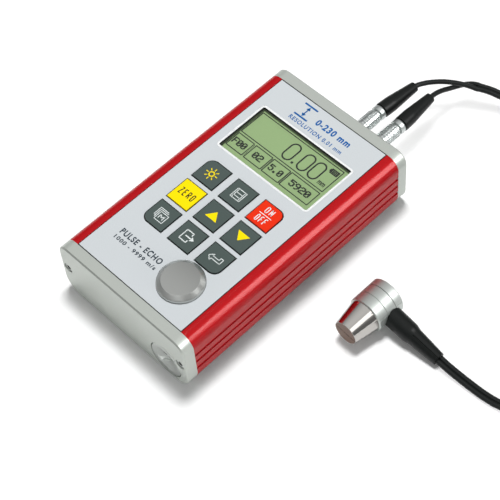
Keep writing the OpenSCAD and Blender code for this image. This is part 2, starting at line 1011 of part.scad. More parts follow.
module probe_barrier() {
    color(black)
        at_probe()
            intersection() {
                cylinder(r = face_d / 2 - nose_rim - pilot_gap, h = delay_len);
                rotate([0, 0, relief_slope])
                    cube([2 * face_d, barrier_t - 2 * pilot_gap, 3 * delay_len], center = true);
            }
}

// Turned case with a groove between its two rings and a socket for the nose
module probe_case() {
    r = case_d / 2;
    edge = case_edge;
    pocket_r = spigot_d / 2 + seat_gap;
    pocket_len = spigot_len + seat_gap;
    color(silver)
        at_probe()
            translate([0, 0, nose_len])
                difference() {
                    rotate_extrude()
                        polygon([
                            [pocket_r, 0],
                            [r - edge, 0],
                            [r, edge],
                            [r, ring_front - ring_groove],
                            [r - groove_depth, ring_front - ring_groove],
                            [r - groove_depth, ring_front],
                            [r, ring_front],
                            [r, case_len - ring_groove],
                            [back_step_d / 2, case_len - ring_groove],
                            [back_step_d / 2, case_len],
                            [0, case_len],
                            [0, pocket_len],
                            [pocket_r, pocket_len]
                        ]);
                    translate([0, 0, -cut])
                        seam_blade();
                }
}

module probe_back() {
    r = case_d / 2;
    color(silver)
        at_probe()
            translate([0, 0, nose_len + case_len])
                difference() {
                    rotate_extrude()
                        polygon([
                            [0, 0],
                            [r, 0],
                            [r, ring_back - back_bevel],
                            [r - back_bevel, ring_back],
                            [0, ring_back]
                        ]);
                    translate([0, 0, -cut])
                        seam_blade();
                }
}

// Bend relief of the probe; it is hollowed to sit on the round case and a seam follows the twin cord
module probe_boot() {
    root = case_d / 2 - relief_root;
    step_start = relief_root + relief_step_start;
    step_end = relief_root + relief_step_end;
    tip = relief_root + relief_len;
    seam_run = tip - step_end;
    seam_lean = atan((relief_step_d - relief_end_d) / 2 / seam_run);
    color(black)
        difference() {
            translate([probe_x, relief_y, probe_z])
                rotate([0, 90 + relief_slope, -relief_yaw])
                    translate([0, 0, root])
                        difference() {
                            rotate_extrude()
                                polygon([
                                    [0, 0],
                                    [relief_d / 2, 0],
                                    [relief_d / 2, relief_root],
                                    [relief_front_d / 2, step_start],
                                    [relief_step_d / 2, step_end],
                                    [relief_end_d / 2, tip],
                                    [0, tip]
                                ]);
                            for (turn = [0, 180]) {
                                rotate([0, 0, turn + relief_seam_turn])
                                    translate([relief_step_d / 2, 0, step_end])
                                        rotate([0, -seam_lean, 0])
                                            cylinder(r = relief_seam_r, h = seam_run * 2);
                            }
                        }
            at_probe()
                cylinder(r = case_d / 2 + seat_gap, h = 4 * case_d);
        }
}

housing_extrusion();
front_end_cap();
rear_end_cap();
front_screws();
rear_screws();
face_overlay();
display_pane();
lcd_module();
lcd_frame();
main_board();
key_domes();
key(0, 0, dark_grey);  // key_light
key(1, 0, dark_grey);  // key_layer
key(2, 0, orange_red);  // key_power
key(0, 1, yellow);  // key_zero
key(1, 1, dark_grey);  // key_up
key(2, 1, dark_grey);  // key_down
key(0, 2, dark_grey);  // key_memory
key(1, 2, dark_grey);  // key_export
key(2, 2, dark_grey);  // key_enter
reference_disc();
battery_sleeve();
battery_cells();
battery_contact();
battery_spring();
battery_cap();
cap_o_ring();
socket(0);  // socket_a
socket(1);  // socket_b
socket_nut(0);  // socket_nut_a
socket_nut(1);  // socket_nut_b
plug_body(0);  // plug_body_a
plug_body(1);  // plug_body_b
plug_sleeve(0);  // plug_sleeve_a
plug_sleeve(1);  // plug_sleeve_b
plug_nut(0);  // plug_nut_a
plug_nut(1);  // plug_nut_b
plug_boot(0);  // plug_boot_a
plug_boot(1);  // plug_boot_b
lead_a();
lead_b();
cord_gauge_side();
cord_coil();
cord_tie();
cord_probe_side();
probe_nose();
probe_delay_blocks();
probe_barrier();
probe_case();
probe_back();
probe_boot();
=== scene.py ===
"""Finished look of a hand-held ultrasonic thickness gauge with its probe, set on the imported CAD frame."""
import json
import math

import bmesh
import bpy
from mathutils import Matrix, Vector

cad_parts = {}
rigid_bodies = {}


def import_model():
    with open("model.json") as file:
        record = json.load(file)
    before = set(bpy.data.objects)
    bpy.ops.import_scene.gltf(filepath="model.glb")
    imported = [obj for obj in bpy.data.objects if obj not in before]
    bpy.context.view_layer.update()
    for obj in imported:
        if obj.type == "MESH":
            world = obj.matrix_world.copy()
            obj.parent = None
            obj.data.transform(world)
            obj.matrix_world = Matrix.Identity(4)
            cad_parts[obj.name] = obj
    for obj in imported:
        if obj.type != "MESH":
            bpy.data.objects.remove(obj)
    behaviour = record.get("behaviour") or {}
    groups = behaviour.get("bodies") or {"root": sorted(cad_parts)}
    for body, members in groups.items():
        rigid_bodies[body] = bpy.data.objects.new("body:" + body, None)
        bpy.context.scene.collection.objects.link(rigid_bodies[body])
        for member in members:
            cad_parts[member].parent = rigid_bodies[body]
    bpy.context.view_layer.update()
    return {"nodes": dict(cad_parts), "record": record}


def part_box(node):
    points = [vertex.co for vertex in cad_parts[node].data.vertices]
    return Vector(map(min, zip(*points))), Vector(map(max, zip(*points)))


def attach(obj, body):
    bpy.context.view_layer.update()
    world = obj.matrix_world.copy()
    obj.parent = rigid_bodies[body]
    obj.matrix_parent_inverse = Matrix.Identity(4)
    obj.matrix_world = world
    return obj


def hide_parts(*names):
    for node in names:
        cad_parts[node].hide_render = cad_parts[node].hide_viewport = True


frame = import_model()
NODES = frame["nodes"]
RECORD = frame["record"]
BODY_OF = {node: body for body, members in RECORD["behaviour"]["bodies"].items() for node in members}
SLOT_OF = {row["node"]: row["material_slot"] for row in RECORD["subparts"]}
SCENE = bpy.context.scene
MM = 0.001
UP = Vector((0, 0, 1))


def metres(*lengths):
    """Lengths in mm as metres."""
    return tuple(length * MM for length in lengths)


def box_mm(node):
    """Lowest and highest corner of a CAD node's box, in mm."""
    return [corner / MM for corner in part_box(node)]


def middle_mm(node):
    """Middle of a CAD node's box, in mm."""
    return sum(box_mm(node), Vector()) / 2


# Camera

PHOTO_PX = 500
FOCAL_PX = 1599.465
SENSOR = 36.0
CLIP = (0.01, 30)
EYE = Vector(metres(310.162, -252.326, 572.317))
AZIMUTH, ELEVATION, ROLL = 50.249, 55.380, -6.062


def place_camera():
    """The photograph's view: where the eye stands, which way it looks and how far it leans."""
    turn, rise, lean = (Matrix.Rotation(math.radians(angle), 4, axis)
                        for angle, axis in ((AZIMUTH, "Z"), (90 - ELEVATION, "X"), (ROLL, "Z")))
    lens = bpy.data.cameras.new("photo_view")
    lens.sensor_width = SENSOR
    lens.lens = FOCAL_PX * SENSOR / PHOTO_PX
    lens.clip_start, lens.clip_end = CLIP
    camera = bpy.data.objects.new("photo_view", lens)
    camera.matrix_world = Matrix.Translation(EYE) @ turn @ rise @ lean
    SCENE.collection.objects.link(camera)
    SCENE.camera = camera


# Nodes

COLOUR, FLOAT, VECTOR = "NodeSocketColor", "NodeSocketFloat", "NodeSocketVector"
WHOLE, GEOMETRY, MATERIAL = "NodeSocketInt", "NodeSocketGeometry", "NodeSocketMaterial"
MIX_PORTS = {"FLOAT": (2, 3, 0), "RGBA": (6, 7, 2)}


def put(tree, kind, values=None, **settings):
    """A new node; values maps inputs to constants or to the outputs that feed them."""
    node = tree.nodes.new(kind)
    for name, value in settings.items():
        setattr(node, name, value)
    for name, value in (values or {}).items():
        if isinstance(value, bpy.types.NodeSocket):
            tree.links.new(value, node.inputs[name])
        else:
            node.inputs[name].default_value = value
    return node


def feed(node, sources):
    """Links outputs to the inputs of a node."""
    for name, source in sources.items():
        node.id_data.links.new(source, node.inputs[name])


def sum_of(tree, operation, *values):
    """Output of a Math node on constants or sockets."""
    return put(tree, "ShaderNodeMath", dict(enumerate(values)), operation=operation).outputs[0]


def vector_of(tree, operation, *values, result="Vector"):
    """Output of a Vector Math node on constants or sockets."""
    return put(tree, "ShaderNodeVectorMath", dict(enumerate(values)), operation=operation).outputs[result]


def scaled(tree, colour, factor):
    """A colour made lighter or darker."""
    return put(tree, "ShaderNodeVectorMath", {0: colour, "Scale": factor}, operation="SCALE").outputs["Vector"]


def mapped(tree, value, span, onto=(0.0, 1.0)):
    """A value carried from one span onto another."""
    return put(tree, "ShaderNodeMapRange", {"Value": value, "From Min": span[0], "From Max": span[1],
                                            "To Min": onto[0], "To Max": onto[1]}).outputs["Result"]


def mixed(tree, share, first, second, kind="FLOAT"):
    """A value or a colour between two others."""
    low, high, out = MIX_PORTS[kind]
    return put(tree, "ShaderNodeMix", {0: share, low: first, high: second}, data_type=kind).outputs[out]


def noise_of(tree, values, dimensions="3D"):
    """A noise value."""
    return put(tree, "ShaderNodeTexNoise", values, noise_dimensions=dimensions).outputs["Fac"]


def place_of(tree, kind="Object"):
    """Where a point lies on its object, or another of its coordinates."""
    return put(tree, "ShaderNodeTexCoord").outputs[kind]


def axes_of(tree, kind="Object"):
    """Such coordinates as X, Y and Z."""
    return put(tree, "ShaderNodeSeparateXYZ", {"Vector": place_of(tree, kind)}).outputs


def between(tree, value, low, high):
    """1 where a value lies between two others, 0 elsewhere."""
    return sum_of(tree, "MULTIPLY", sum_of(tree, "GREATER_THAN", value, low), sum_of(tree, "LESS_THAN", value, high))


def ray_of(tree, kind):
    """1 for rays of a kind, 0 for others."""
    return put(tree, "ShaderNodeLightPath").outputs[kind]


# Shared shader effects

NOISE_SPAN = (0.3, 0.7)


def new_group(name, inputs, outputs=()):
    """A shader group with its sockets, those that it is given, and its output node."""
    tree = bpy.data.node_groups.new(name, "ShaderNodeTree")
    for title, kind, default in [*inputs, ("Smoothest", FLOAT, 0.4), ("Roughest", FLOAT, 0.5)]:
        tree.interface.new_socket(title, in_out="INPUT", socket_type=kind).default_value = default
    for title, kind in [*outputs, ("Roughness", FLOAT), ("Height", FLOAT)]:
        tree.interface.new_socket(title, in_out="OUTPUT", socket_type=kind)
    return tree, tree.nodes.new("NodeGroupInput").outputs, tree.nodes.new("NodeGroupOutput")


def close_group(tree, given, out, pattern):
    """Ends a group: the gloss and the height of its pattern."""
    rough = mapped(tree, pattern, NOISE_SPAN, (given["Smoothest"], given["Roughest"]))
    feed(out, {"Roughness": rough, "Height": pattern})
    return tree


def make_grain():
    """Fine grain of a blasted, moulded or printed surface."""
    tree, given, out = new_group("fine_grain", [("Colour", COLOUR, (1, 1, 1, 1)), ("Spread", FLOAT, 0.1),
                                                ("Scale", FLOAT, 4000)], [("Colour", COLOUR)])
    fine = noise_of(tree, {"Vector": place_of(tree), "Scale": given["Scale"], "Detail": 2.0})
    shades = [sum_of(tree, operation, 1.0, given["Spread"]) for operation in ("SUBTRACT", "ADD")]
    feed(out, {"Colour": scaled(tree, given["Colour"], mapped(tree, fine, NOISE_SPAN, shades))})
    return close_group(tree, given, out, fine)


def make_lathe_lines():
    """Lines left by a lathe: rings at equal distance from a point on the piece's axis."""
    tree, given, out = new_group("lathe_lines", [("Centre", VECTOR, (0, 0, 0)), ("Pitch", FLOAT, 0.0003)])
    away = vector_of(tree, "DISTANCE", place_of(tree), given["Centre"], result="Value")
    turns = sum_of(tree, "DIVIDE", away, given["Pitch"])
    return close_group(tree, given, out, noise_of(tree, {"W": turns, "Scale": 1.0, "Detail": 1.0}, "1D"))


def make_drawn_lines():
    """Lines that drawing leaves along the Y axis."""
    tree, given, out = new_group("drawn_lines", [("Across", FLOAT, 2500.0), ("Along", FLOAT, 20.0)])
    stretch = put(tree, "ShaderNodeCombineXYZ", {"X": given["Across"], "Y": given["Along"], "Z": given["Across"]})
    drawn = vector_of(tree, "MULTIPLY", place_of(tree), stretch.outputs[0])
    return close_group(tree, given, out, noise_of(tree, {"Vector": drawn, "Scale": 1.0, "Detail": 2.0}))


GRAIN = make_grain()
LATHE_LINES = make_lathe_lines()
DRAWN_LINES = make_drawn_lines()


def effect(tree, group, values):
    """Outputs of a shared effect."""
    return put(tree, "ShaderNodeGroup", values, node_tree=group).outputs


def new_material(name, sockets):
    """A material whose Principled shader has these constants."""
    material = bpy.data.materials.new(name)
    material.use_nodes = True
    shader = material.node_tree.nodes["Principled BSDF"]
    for title, value in sockets.items():
        shader.inputs[title].default_value = value
    return material, material.node_tree, shader


def bumped(tree, height, strength, depth):
    """Normal of a fine relief; depth in mm."""
    bump = put(tree, "ShaderNodeBump", {"Height": height, "Strength": strength, "Distance": depth * MM})
    return bump.outputs["Normal"]


def grained(name, colour, rough, spread, grain, strength, sockets=None):
    """A finish with a fine grain of the given size in mm, in colour, gloss and relief."""
    material, tree, shader = new_material(name, sockets or {})
    given = effect(tree, GRAIN, {"Colour": (*colour, 1), "Spread": spread, "Scale": 1 / (grain * MM),
                                 "Smoothest": rough[0], "Roughest": rough[1]})
    feed(shader, {"Base Color": given["Colour"], "Roughness": given["Roughness"],
                  "Normal": bumped(tree, given["Height"], strength, grain / 4)})
    return material


def turned(name, colour, centre, rough, pitch, strength):
    """A turned metal finish with lathe lines about an axis through centre, in mm."""
    material, tree, shader = new_material(name, {"Base Color": (*colour, 1), "Metallic": 1.0})
    given = effect(tree, LATHE_LINES, {"Centre": metres(*centre), "Pitch": pitch * MM,
                                       "Smoothest": rough[0], "Roughest": rough[1]})
    feed(shader, {"Roughness": given["Roughness"], "Normal": bumped(tree, given["Height"], strength, pitch / 4)})
    return material


# Finishes

SIDE_FACE = box_mm("housing_extrusion")[1].x
GROOVE_TOP, GROOVE_FOOT = 24.0, 9.5
GROOVE_DEPTHS = (0.05, 0.45)
GROOVE_SHADE = 0.78
RED_TINT, RED_BOUNCE = (0.48, 0.0035, 0.007, 1), (0.34, 0.3, 0.29, 1)


def groove_mask(tree):
    """1 in the depth of the grooves along the sides, 0 on the rest of the housing."""
    place = axes_of(tree)
    sunk = mapped(tree, sum_of(tree, "ABSOLUTE", place["X"]), [(SIDE_FACE - depth) * MM for depth in GROOVE_DEPTHS])
    return sum_of(tree, "MULTIPLY", sunk, between(tree, place["Z"], GROOVE_FOOT * MM, GROOVE_TOP * MM))


def red_anodising():
    """Satin red anodising on the drawn aluminium housing: a tinted metal sheen under a clear skin.
    In the depths of the grooves the colour is darkened as painted shade, and the clear skin is left off.
    The light that it throws on the floor is kept neutral, as a studio's cards do."""
    material, tree, shader = new_material(
        "red_anodising", {"Metallic": 0.18, "Specular IOR Level": 0.0, "Coat Roughness": 0.2, "Coat IOR": 1.31})
    drawn = effect(tree, DRAWN_LINES, {"Across": 6000.0, "Along": 60.0, "Smoothest": 0.42, "Roughest": 0.5})
    tint = effect(tree, GRAIN, {"Colour": RED_TINT, "Spread": 0.14, "Scale": 4200.0})["Colour"]
    open_face = sum_of(tree, "SUBTRACT", 1.0, groove_mask(tree))
    # Painted shade: GROOVE_SHADE darkens the base colour in the depths of the grooves.
    tone = scaled(tree, tint, mapped(tree, open_face, (0.0, 1.0), (GROOVE_SHADE, 1.0)))
    seen = mixed(tree, ray_of(tree, "Is Diffuse Ray"), tone, RED_BOUNCE, "RGBA")
    feed(shader, {"Base Color": seen, "Coat Weight": open_face, "Roughness": drawn["Roughness"],
                  "Normal": bumped(tree, drawn["Height"], 0.08, 0.01)})
    return material


CHAMFER_LEANS = (0.2, 0.45)
CHAMFER_SHADE = 0.66


def blasted_caps():
    """Blasted aluminium of the end caps; their upper chamfers are painted darker, as shade, since they face the unlit
    horizon.
    """
    material = grained("blasted_aluminium", (0.6, 0.637, 0.592), (0.36, 0.46), 0.05, 0.16, 0.12, {"Metallic": 0.5})
    tree = material.node_tree
    shader = tree.nodes["Principled BSDF"]
    # Painted shade: chamfers that lean between the top and the front or back get a darker base colour.
    facing = axes_of(tree, "Normal")
    lean = sum_of(tree, "MULTIPLY", sum_of(tree, "ABSOLUTE", facing["Y"]), facing["Z"])
    shade = mapped(tree, lean, CHAMFER_LEANS, (1.0, CHAMFER_SHADE))
    feed(shader, {"Base Color": scaled(tree, shader.inputs["Base Color"].links[0].from_socket, shade)})
    return material


DISC_AXIS = middle_mm("reference_disc")
DISC_CROWN = 10.0
LATHE_BACK = 6


def crowned_steel():
    """Ground steel of the reference disc: faint lathe lines on a face that is ground slightly crowned along Y."""
    material = turned("disc_steel", (0.62, 0.635, 0.615), DISC_AXIS - UP * LATHE_BACK, (0.36, 0.42), 0.12, 0.05)
    tree = material.node_tree
    away = sum_of(tree, "SUBTRACT", axes_of(tree)["Y"], DISC_AXIS.y * MM)
    crown = sum_of(tree, "MULTIPLY", sum_of(tree, "MULTIPLY", away, away), -DISC_CROWN)
    feed(tree.nodes["Bump"], {"Normal": bumped(tree, crown, 1.0, 1 / MM)})
    return material


SCREW_PLACE = Vector((34.4, 0, 17))
SOCKET_R, HEAD_R = 1.25, 2.0
SCREW_PAINTED_SHADE, SCREW_BRIGHT = (0.03, 0.03, 0.03, 1), (0.66, 0.69, 0.67, 1)


def socket_screw():
    """Steel of the cap screws, with painted shade in the drive and in the gap round the head; only a ring of the head
    keeps the steel's colour.
    """
    material, tree, shader = new_material("screw_steel", {"Metallic": 0.6, "Roughness": 0.35})
    level = vector_of(tree, "MULTIPLY", vector_of(tree, "ABSOLUTE", place_of(tree)), (1, 0, 1))
    away = vector_of(tree, "DISTANCE", level, SCREW_PLACE * MM, result="Value")
    # Painted shade: the dark colour fills the drive and all outside the head's ring.
    ring = between(tree, away, SOCKET_R * MM, HEAD_R * MM)
    feed(shader, {"Base Color": mixed(tree, ring, SCREW_PAINTED_SHADE, SCREW_BRIGHT, "RGBA")})
    return material


NICKEL_TONE = (0.74, 0.78, 0.77)
KNURL_COUNT = 7.0
KNURL_PITCH = 2.8
KNURL_START = 0.35
KNURL_STRENGTH, KNURL_DEPTH = 0.7, 0.16


def knurled_nickel(side):
    """Satin nickel of a release sleeve, with diamonds knurled round its rear part."""
    low, high = box_mm("plug_sleeve_" + side)
    middle = (low + high) / 2
    material, tree, shader = new_material(
        "knurled_nickel_" + side, {"Base Color": (*NICKEL_TONE, 1), "Metallic": 1.0, "Roughness": 0.3})
    place = axes_of(tree)
    turn = sum_of(tree, "ARCTAN2", sum_of(tree, "SUBTRACT", place["Z"], middle.z * MM),
                  sum_of(tree, "SUBTRACT", place["X"], middle.x * MM))
    round_it = sum_of(tree, "MULTIPLY", turn, KNURL_COUNT)
    along = sum_of(tree, "MULTIPLY", place["Y"], 2 * math.pi / (KNURL_PITCH * MM))
    waves = [sum_of(tree, "SINE", sum_of(tree, operation, round_it, along)) for operation in ("ADD", "SUBTRACT")]
    rear = sum_of(tree, "GREATER_THAN", place["Y"], (low.y + KNURL_START * (high.y - low.y)) * MM)
    diamonds = sum_of(tree, "MULTIPLY", sum_of(tree, "MULTIPLY", *waves), rear)
    feed(shader, {"Normal": bumped(tree, diamonds, KNURL_STRENGTH, KNURL_DEPTH)})
    return material


CORK_STOPS = ((0.45, (0.012, 0.016, 0.012, 1)), (0.55, (0.2, 0.12, 0.08, 1)))


def cork_barrier():
    """Cork that parts the two delay blocks, seen end on as dark and pale grains."""
    material, tree, shader = new_material("cork_barrier", {"Roughness": 0.8})
    grains = noise_of(tree, {"Vector": place_of(tree), "Scale": 1300.0, "Detail": 1.0})
    ramp = put(tree, "ShaderNodeValToRGB", {"Fac": grains})
    for stop, (place, tone) in zip(ramp.color_ramp.elements, CORK_STOPS):
        stop.position, stop.color = place, tone
    feed(shader, {"Base Color": ramp.outputs["Color"]})
    return material


def woven_strap():
    """Black woven strap."""
    material, tree, shader = new_material("woven_strap", {"Base Color": (0.02, 0.02, 0.021, 1), "Roughness": 0.85})
    weave = put(tree, "ShaderNodeTexMagic", {"Vector": place_of(tree), "Scale": 2600.0}, turbulence_depth=1)
    feed(shader, {"Normal": bumped(tree, weave.outputs["Fac"], 0.6, 0.15)})
    return material


METAL = {"Metallic": 1.0}
MATT_SKIN = {"Specular IOR Level": 0.25}
SIGNAL_YELLOW = (1.0, 0.78, 0.0)


def key_skin(name, colour, spread, strength):
    """Matt skin of a key."""
    return grained(name, colour, (0.5, 0.6), spread, 0.2, strength, MATT_SKIN)


def printing(name, colour, spread=0.05):
    """Matt printing ink."""
    return grained(name, colour, (0.45, 0.55), spread, 0.3, 0.1, MATT_SKIN)


PROBE_MIDDLE = middle_mm("probe_nose")
PROBE_AXIS = (PROBE_MIDDLE.x, box_mm("probe_back")[1].y + LATHE_BACK, PROBE_MIDDLE.z)
CAP_AXIS = middle_mm("battery_cap")
CAP_LATHE = CAP_AXIS - Vector((0, 2, 0))

RED = red_anodising()
CAP_SATIN = blasted_caps()
BATTERY_SATIN = turned("turned_cap", (0.7, 0.73, 0.7), CAP_LATHE, (0.3, 0.4), 0.25, 0.15)
OVERLAY_FILM = grained("overlay_film", (0.61, 0.645, 0.665), (0.45, 0.55), 0.07, 0.25, 0.2)
LCD_GREEN = grained("display_green", (0.28, 0.415, 0.18), (0.4, 0.5), 0.03, 0.25, 0.05)
LCD_INK = grained("display_ink", (0.006, 0.009, 0.006), (0.5, 0.6), 0.05, 0.3, 0.05, {"Specular IOR Level": 0.1})
PANE = grained("display_pane", (0.9, 0.95, 0.9), (0.05, 0.08), 0.01, 0.4, 0.01,
               {"Alpha": 0.02, "Specular IOR Level": 0.1})
KEY_GREY = key_skin("key_grey", (0.075, 0.1, 0.093), 0.06, 0.2)
KEY_YELLOW = key_skin("key_yellow", SIGNAL_YELLOW, 0.03, 0.15)
KEY_RED = key_skin("key_red", (0.82, 0.03, 0.005), 0.03, 0.15)
PRINT_WHITE = printing("print_white", (0.9, 0.92, 0.92), 0.03)
PRINT_PALE = printing("print_pale", (0.76, 0.81, 0.8), 0.04)
PRINT_YELLOW = printing("print_yellow", SIGNAL_YELLOW, 0.03)
# Black ink for print, and for the painted shade round the keys, in the overlay's gap and at the end of the coin slot.
BLACK_PRINT_AND_SHADE = printing("print_black", (0.012, 0.014, 0.014))
PRINT_BLUE = printing("print_blue", (0.006, 0.115, 0.37))
PRINT_GREY = printing("print_grey", (0.04, 0.055, 0.07))
DISC_STEEL = crowned_steel()
SCREW_STEEL = socket_screw()
NICKEL = grained("satin_nickel", NICKEL_TONE, (0.36, 0.42), 0.02, 0.3, 0.005, METAL)
CHROME = turned("polished_chrome", (0.62, 0.6, 0.57), PROBE_AXIS, (0.08, 0.12), 0.3, 0.01)
RING_SILVER = turned("turned_silver", (0.72, 0.76, 0.73), PROBE_AXIS, (0.46, 0.52), 0.12, 0.02)
RESIN = grained("delay_resin", (0.17, 0.1, 0.07), (0.4, 0.5), 0.2, 0.35, 0.1)
CORK = cork_barrier()
RUBBER = grained("moulded_rubber", (0.006, 0.0075, 0.007), (0.34, 0.4), 0.15, 0.3, 0.08, {"Specular IOR Level": 0.3})
JACKET = grained("cord_jacket", (0.008, 0.01, 0.0095), (0.36, 0.42), 0.12, 0.4, 0.06, {"Specular IOR Level": 0.35})
STRAP = woven_strap()
SEAL_RUBBER = grained("seal_rubber", (0.02, 0.02, 0.02), (0.5, 0.6), 0.1, 0.3, 0.1)
BOARD_GREEN = grained("board_mask", (0.02, 0.16, 0.07), (0.35, 0.45), 0.08, 0.4, 0.1)
MOULDED_BLACK = grained("moulded_black", (0.025, 0.025, 0.026), (0.45, 0.55), 0.08, 0.3, 0.2)
CELL_FILM = grained("cell_film", (0.04, 0.07, 0.2), (0.2, 0.3), 0.05, 0.4, 0.05)
BRASS = grained("contact_brass", (0.78, 0.57, 0.22), (0.25, 0.35), 0.04, 0.3, 0.05, METAL)
SPRING_STEEL = grained("spring_steel", (0.55, 0.56, 0.57), (0.25, 0.35), 0.04, 0.3, 0.05, METAL)


# Studio, in metres

FLOOR_HALF = 4.0
FLOOR_DROP = 0.00005
FLOOR_WHITE, FLOOR_MIRRORED = 1.06, 0.85
FAR_FLOOR, FAR_GLOW = (0.35, 1.4), 0.75
SKY_WHITE = 0.97
TENT_LIGHT = 0.23
TENT_RISE, TENT_TONES = (0.4, 1.0), (0.16, 0.74)

OVERHEAD = (-0.14, 0.2, 1.25), (0.02, 0, 0), (0.32, 0.32)
SIDE_PLACE, SIDE_AIM, SIDE_SIZE = (0.755, 0.42, 0.745), (0.035, 0, 0.028), (0.42, 0.44)
FILL_SIZE = (0.7, 0.3)
DISC = DISC_AXIS * MM
# Each light's place, the point that it faces, its size, its radiance as seen in a mirror, and whether it only
# shows in the gloss of the surfaces or only lights them.
LIGHTS = {
    "overhead": (*OVERHEAD, 29.0, False),
    "overhead_twin": (*OVERHEAD, 12.0, False),
    "side_light": (SIDE_PLACE, SIDE_AIM, SIDE_SIZE, 11.0, True),
    "ring_side": (SIDE_PLACE, SIDE_AIM, SIDE_SIZE, 7.5, True),
    "disc_side": (SIDE_PLACE, DISC, SIDE_SIZE, 1.6, True),
    "disc_front": ((0.0, -0.85, 0.75), DISC, (1.0, 0.5), 0.75, True),
    "disc_back": ((0.2, 0.95, 0.33), DISC, (0.5, 0.4), 1.3, True),
    "red_side": ((0.839, 0.47, 0.631), SIDE_AIM, (0.42, 0.74), 10.2, True),
    "nose_strip": ((0.735, 0.085, 0.88), (0.0693, 0, 0.0115), (0.45, 0.5), 1.25, True),
    "front_fill": ((0.05, -1.1, 0.14), (0, -0.06, 0.016), FILL_SIZE, 4.2, False),
    "battery_side_fill": ((1.1, 0.05, 0.16), (0.04, 0, 0.016), FILL_SIZE, 3.8, False),
}
# Nodes that have lights of their own in place of the side light.
OWN_LIGHTS = {("reference_disc",): ("disc_side", "disc_front", "disc_back"), ("probe_nose",): ("nose_strip",),
              ("probe_case", "probe_back"): ("ring_side",), ("housing_extrusion",): ("red_side",)}
THIN_PIECES = ("plug_", "lead_", "twin_")


def floor_paper():
    """Matt paper that is exposed to plain white, and dimmer in what stands on it.
    Lamps of its own light its far parts."""
    material, tree, shader = new_material(
        "floor_paper", {"Roughness": 0.85, "Specular IOR Level": 0.0, "Emission Color": (1, 1, 1, 1)})
    away = vector_of(tree, "LENGTH", place_of(tree), result="Value")
    feed(shader, {"Emission Strength": mapped(tree, away, FAR_FLOOR, (0.0, FAR_GLOW)),
                  "Base Color": mixed(tree, ray_of(tree, "Is Camera Ray"), FLOOR_MIRRORED, FLOOR_WHITE)})
    return material


def softbox(name, centre, aim, size, radiance, in_gloss):
    """A rectangular soft light."""
    light = bpy.data.lights.new(name, "AREA")
    light.shape = "RECTANGLE"
    light.size, light.size_y = size
    light.energy = radiance * math.pi * size[0] * size[1]
    box = bpy.data.objects.new(name, light)
    away = Vector(centre) - Vector(aim)
    box.matrix_world = Matrix.Translation(centre) @ away.to_track_quat("Z", "Y").to_matrix().to_4x4()
    box.visible_glossy = in_gloss
    box.visible_diffuse = not in_gloss
    SCENE.collection.objects.link(box)


def light_studio():
    """A white floor in a pale tent, and the lights."""
    SCENE.view_settings.view_transform = "Standard"
    world = bpy.data.worlds.new("studio")
    world.use_nodes = True
    tree = world.node_tree
    tent = mapped(tree, axes_of(tree, "Generated")["Z"], TENT_RISE, TENT_TONES)
    lit = mixed(tree, ray_of(tree, "Is Glossy Ray"), TENT_LIGHT, tent)
    feed(tree.nodes["Background"], {"Color": mixed(tree, ray_of(tree, "Is Camera Ray"), lit, SKY_WHITE)})
    world.cycles.sampling_method = "NONE"
    SCENE.world = world
    floor = bpy.data.meshes.new("floor")
    corners = rectangle(-FLOOR_HALF, -FLOOR_HALF, FLOOR_HALF, FLOOR_HALF)[:-1]
    floor.from_pydata([(x, y, -FLOOR_DROP) for x, y in corners], [], [(0, 1, 2, 3)])
    floor.materials.append(floor_paper())
    sheet = bpy.data.objects.new("floor", floor)
    SCENE.collection.objects.link(sheet)
    for name, settings in LIGHTS.items():
        softbox(name, *settings)


def linked(name, pieces, state):
    """A collection that ties a light to pieces, or keeps it off them."""
    group = bpy.data.collections.new(name)
    for piece in pieces:
        group.objects.link(piece)
    for item in group.collection_objects:
        item.light_linking.link_state = state
    return group


def link_lights():
    """The overhead light passes the plugs and cords, whose shade comes from its weaker twin.
    The bright disc and the probe have their own, weaker lights, so that they aren't blown out,
    and the red housing has a taller one, for the broad streak along its edge."""
    ties = {light.name: light.light_linking for light in SCENE.objects if light.type == "LIGHT"}
    thin = [piece for piece in SCENE.objects if piece.name.startswith(THIN_PIECES)]
    ties["overhead"].blocker_collection = linked("all_but_thin", thin, "EXCLUDE")
    apart = []
    for nodes, lights in OWN_LIGHTS.items():
        pieces = [SCENE.objects[node + "_finished"] for node in nodes]
        alone = linked(lights[0] + "_only", pieces, "INCLUDE")
        for name in lights:
            ties[name].receiver_collection = alone
        apart += pieces
    ties["side_light"].receiver_collection = linked("no_own_light", apart, "EXCLUDE")


# Meshes

MERGE = 1e-6
FLAT_ANGLE, EDGE_ANGLE = 0.3, 30
EDGE_STEPS = 2


def kept_mesh(host):
    """The plain mesh of an object with its modifiers applied; the object is removed."""
    SCENE.collection.objects.link(host)
    bpy.context.view_layer.update()
    mesh = bpy.data.meshes.new_from_object(host.evaluated_get(bpy.context.evaluated_depsgraph_get()))
    bpy.data.objects.remove(host)
    return mesh


def mesh_of(name, points, edges, faces):
    """A mesh from lists."""
    mesh = bpy.data.meshes.new(name)
    mesh.from_pydata(points, edges, faces)
    return mesh


def stand(name, mesh, material, body, slot, *nodes):
    """Puts a finished mesh in the scene as a piece that rides on a body and stands for these nodes."""
    mesh.materials.clear()
    mesh.materials.append(material)
    piece = bpy.data.objects.new(name, mesh)
    SCENE.collection.objects.link(piece)
    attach(piece, body)
    if nodes:
        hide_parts(*nodes)
    return piece


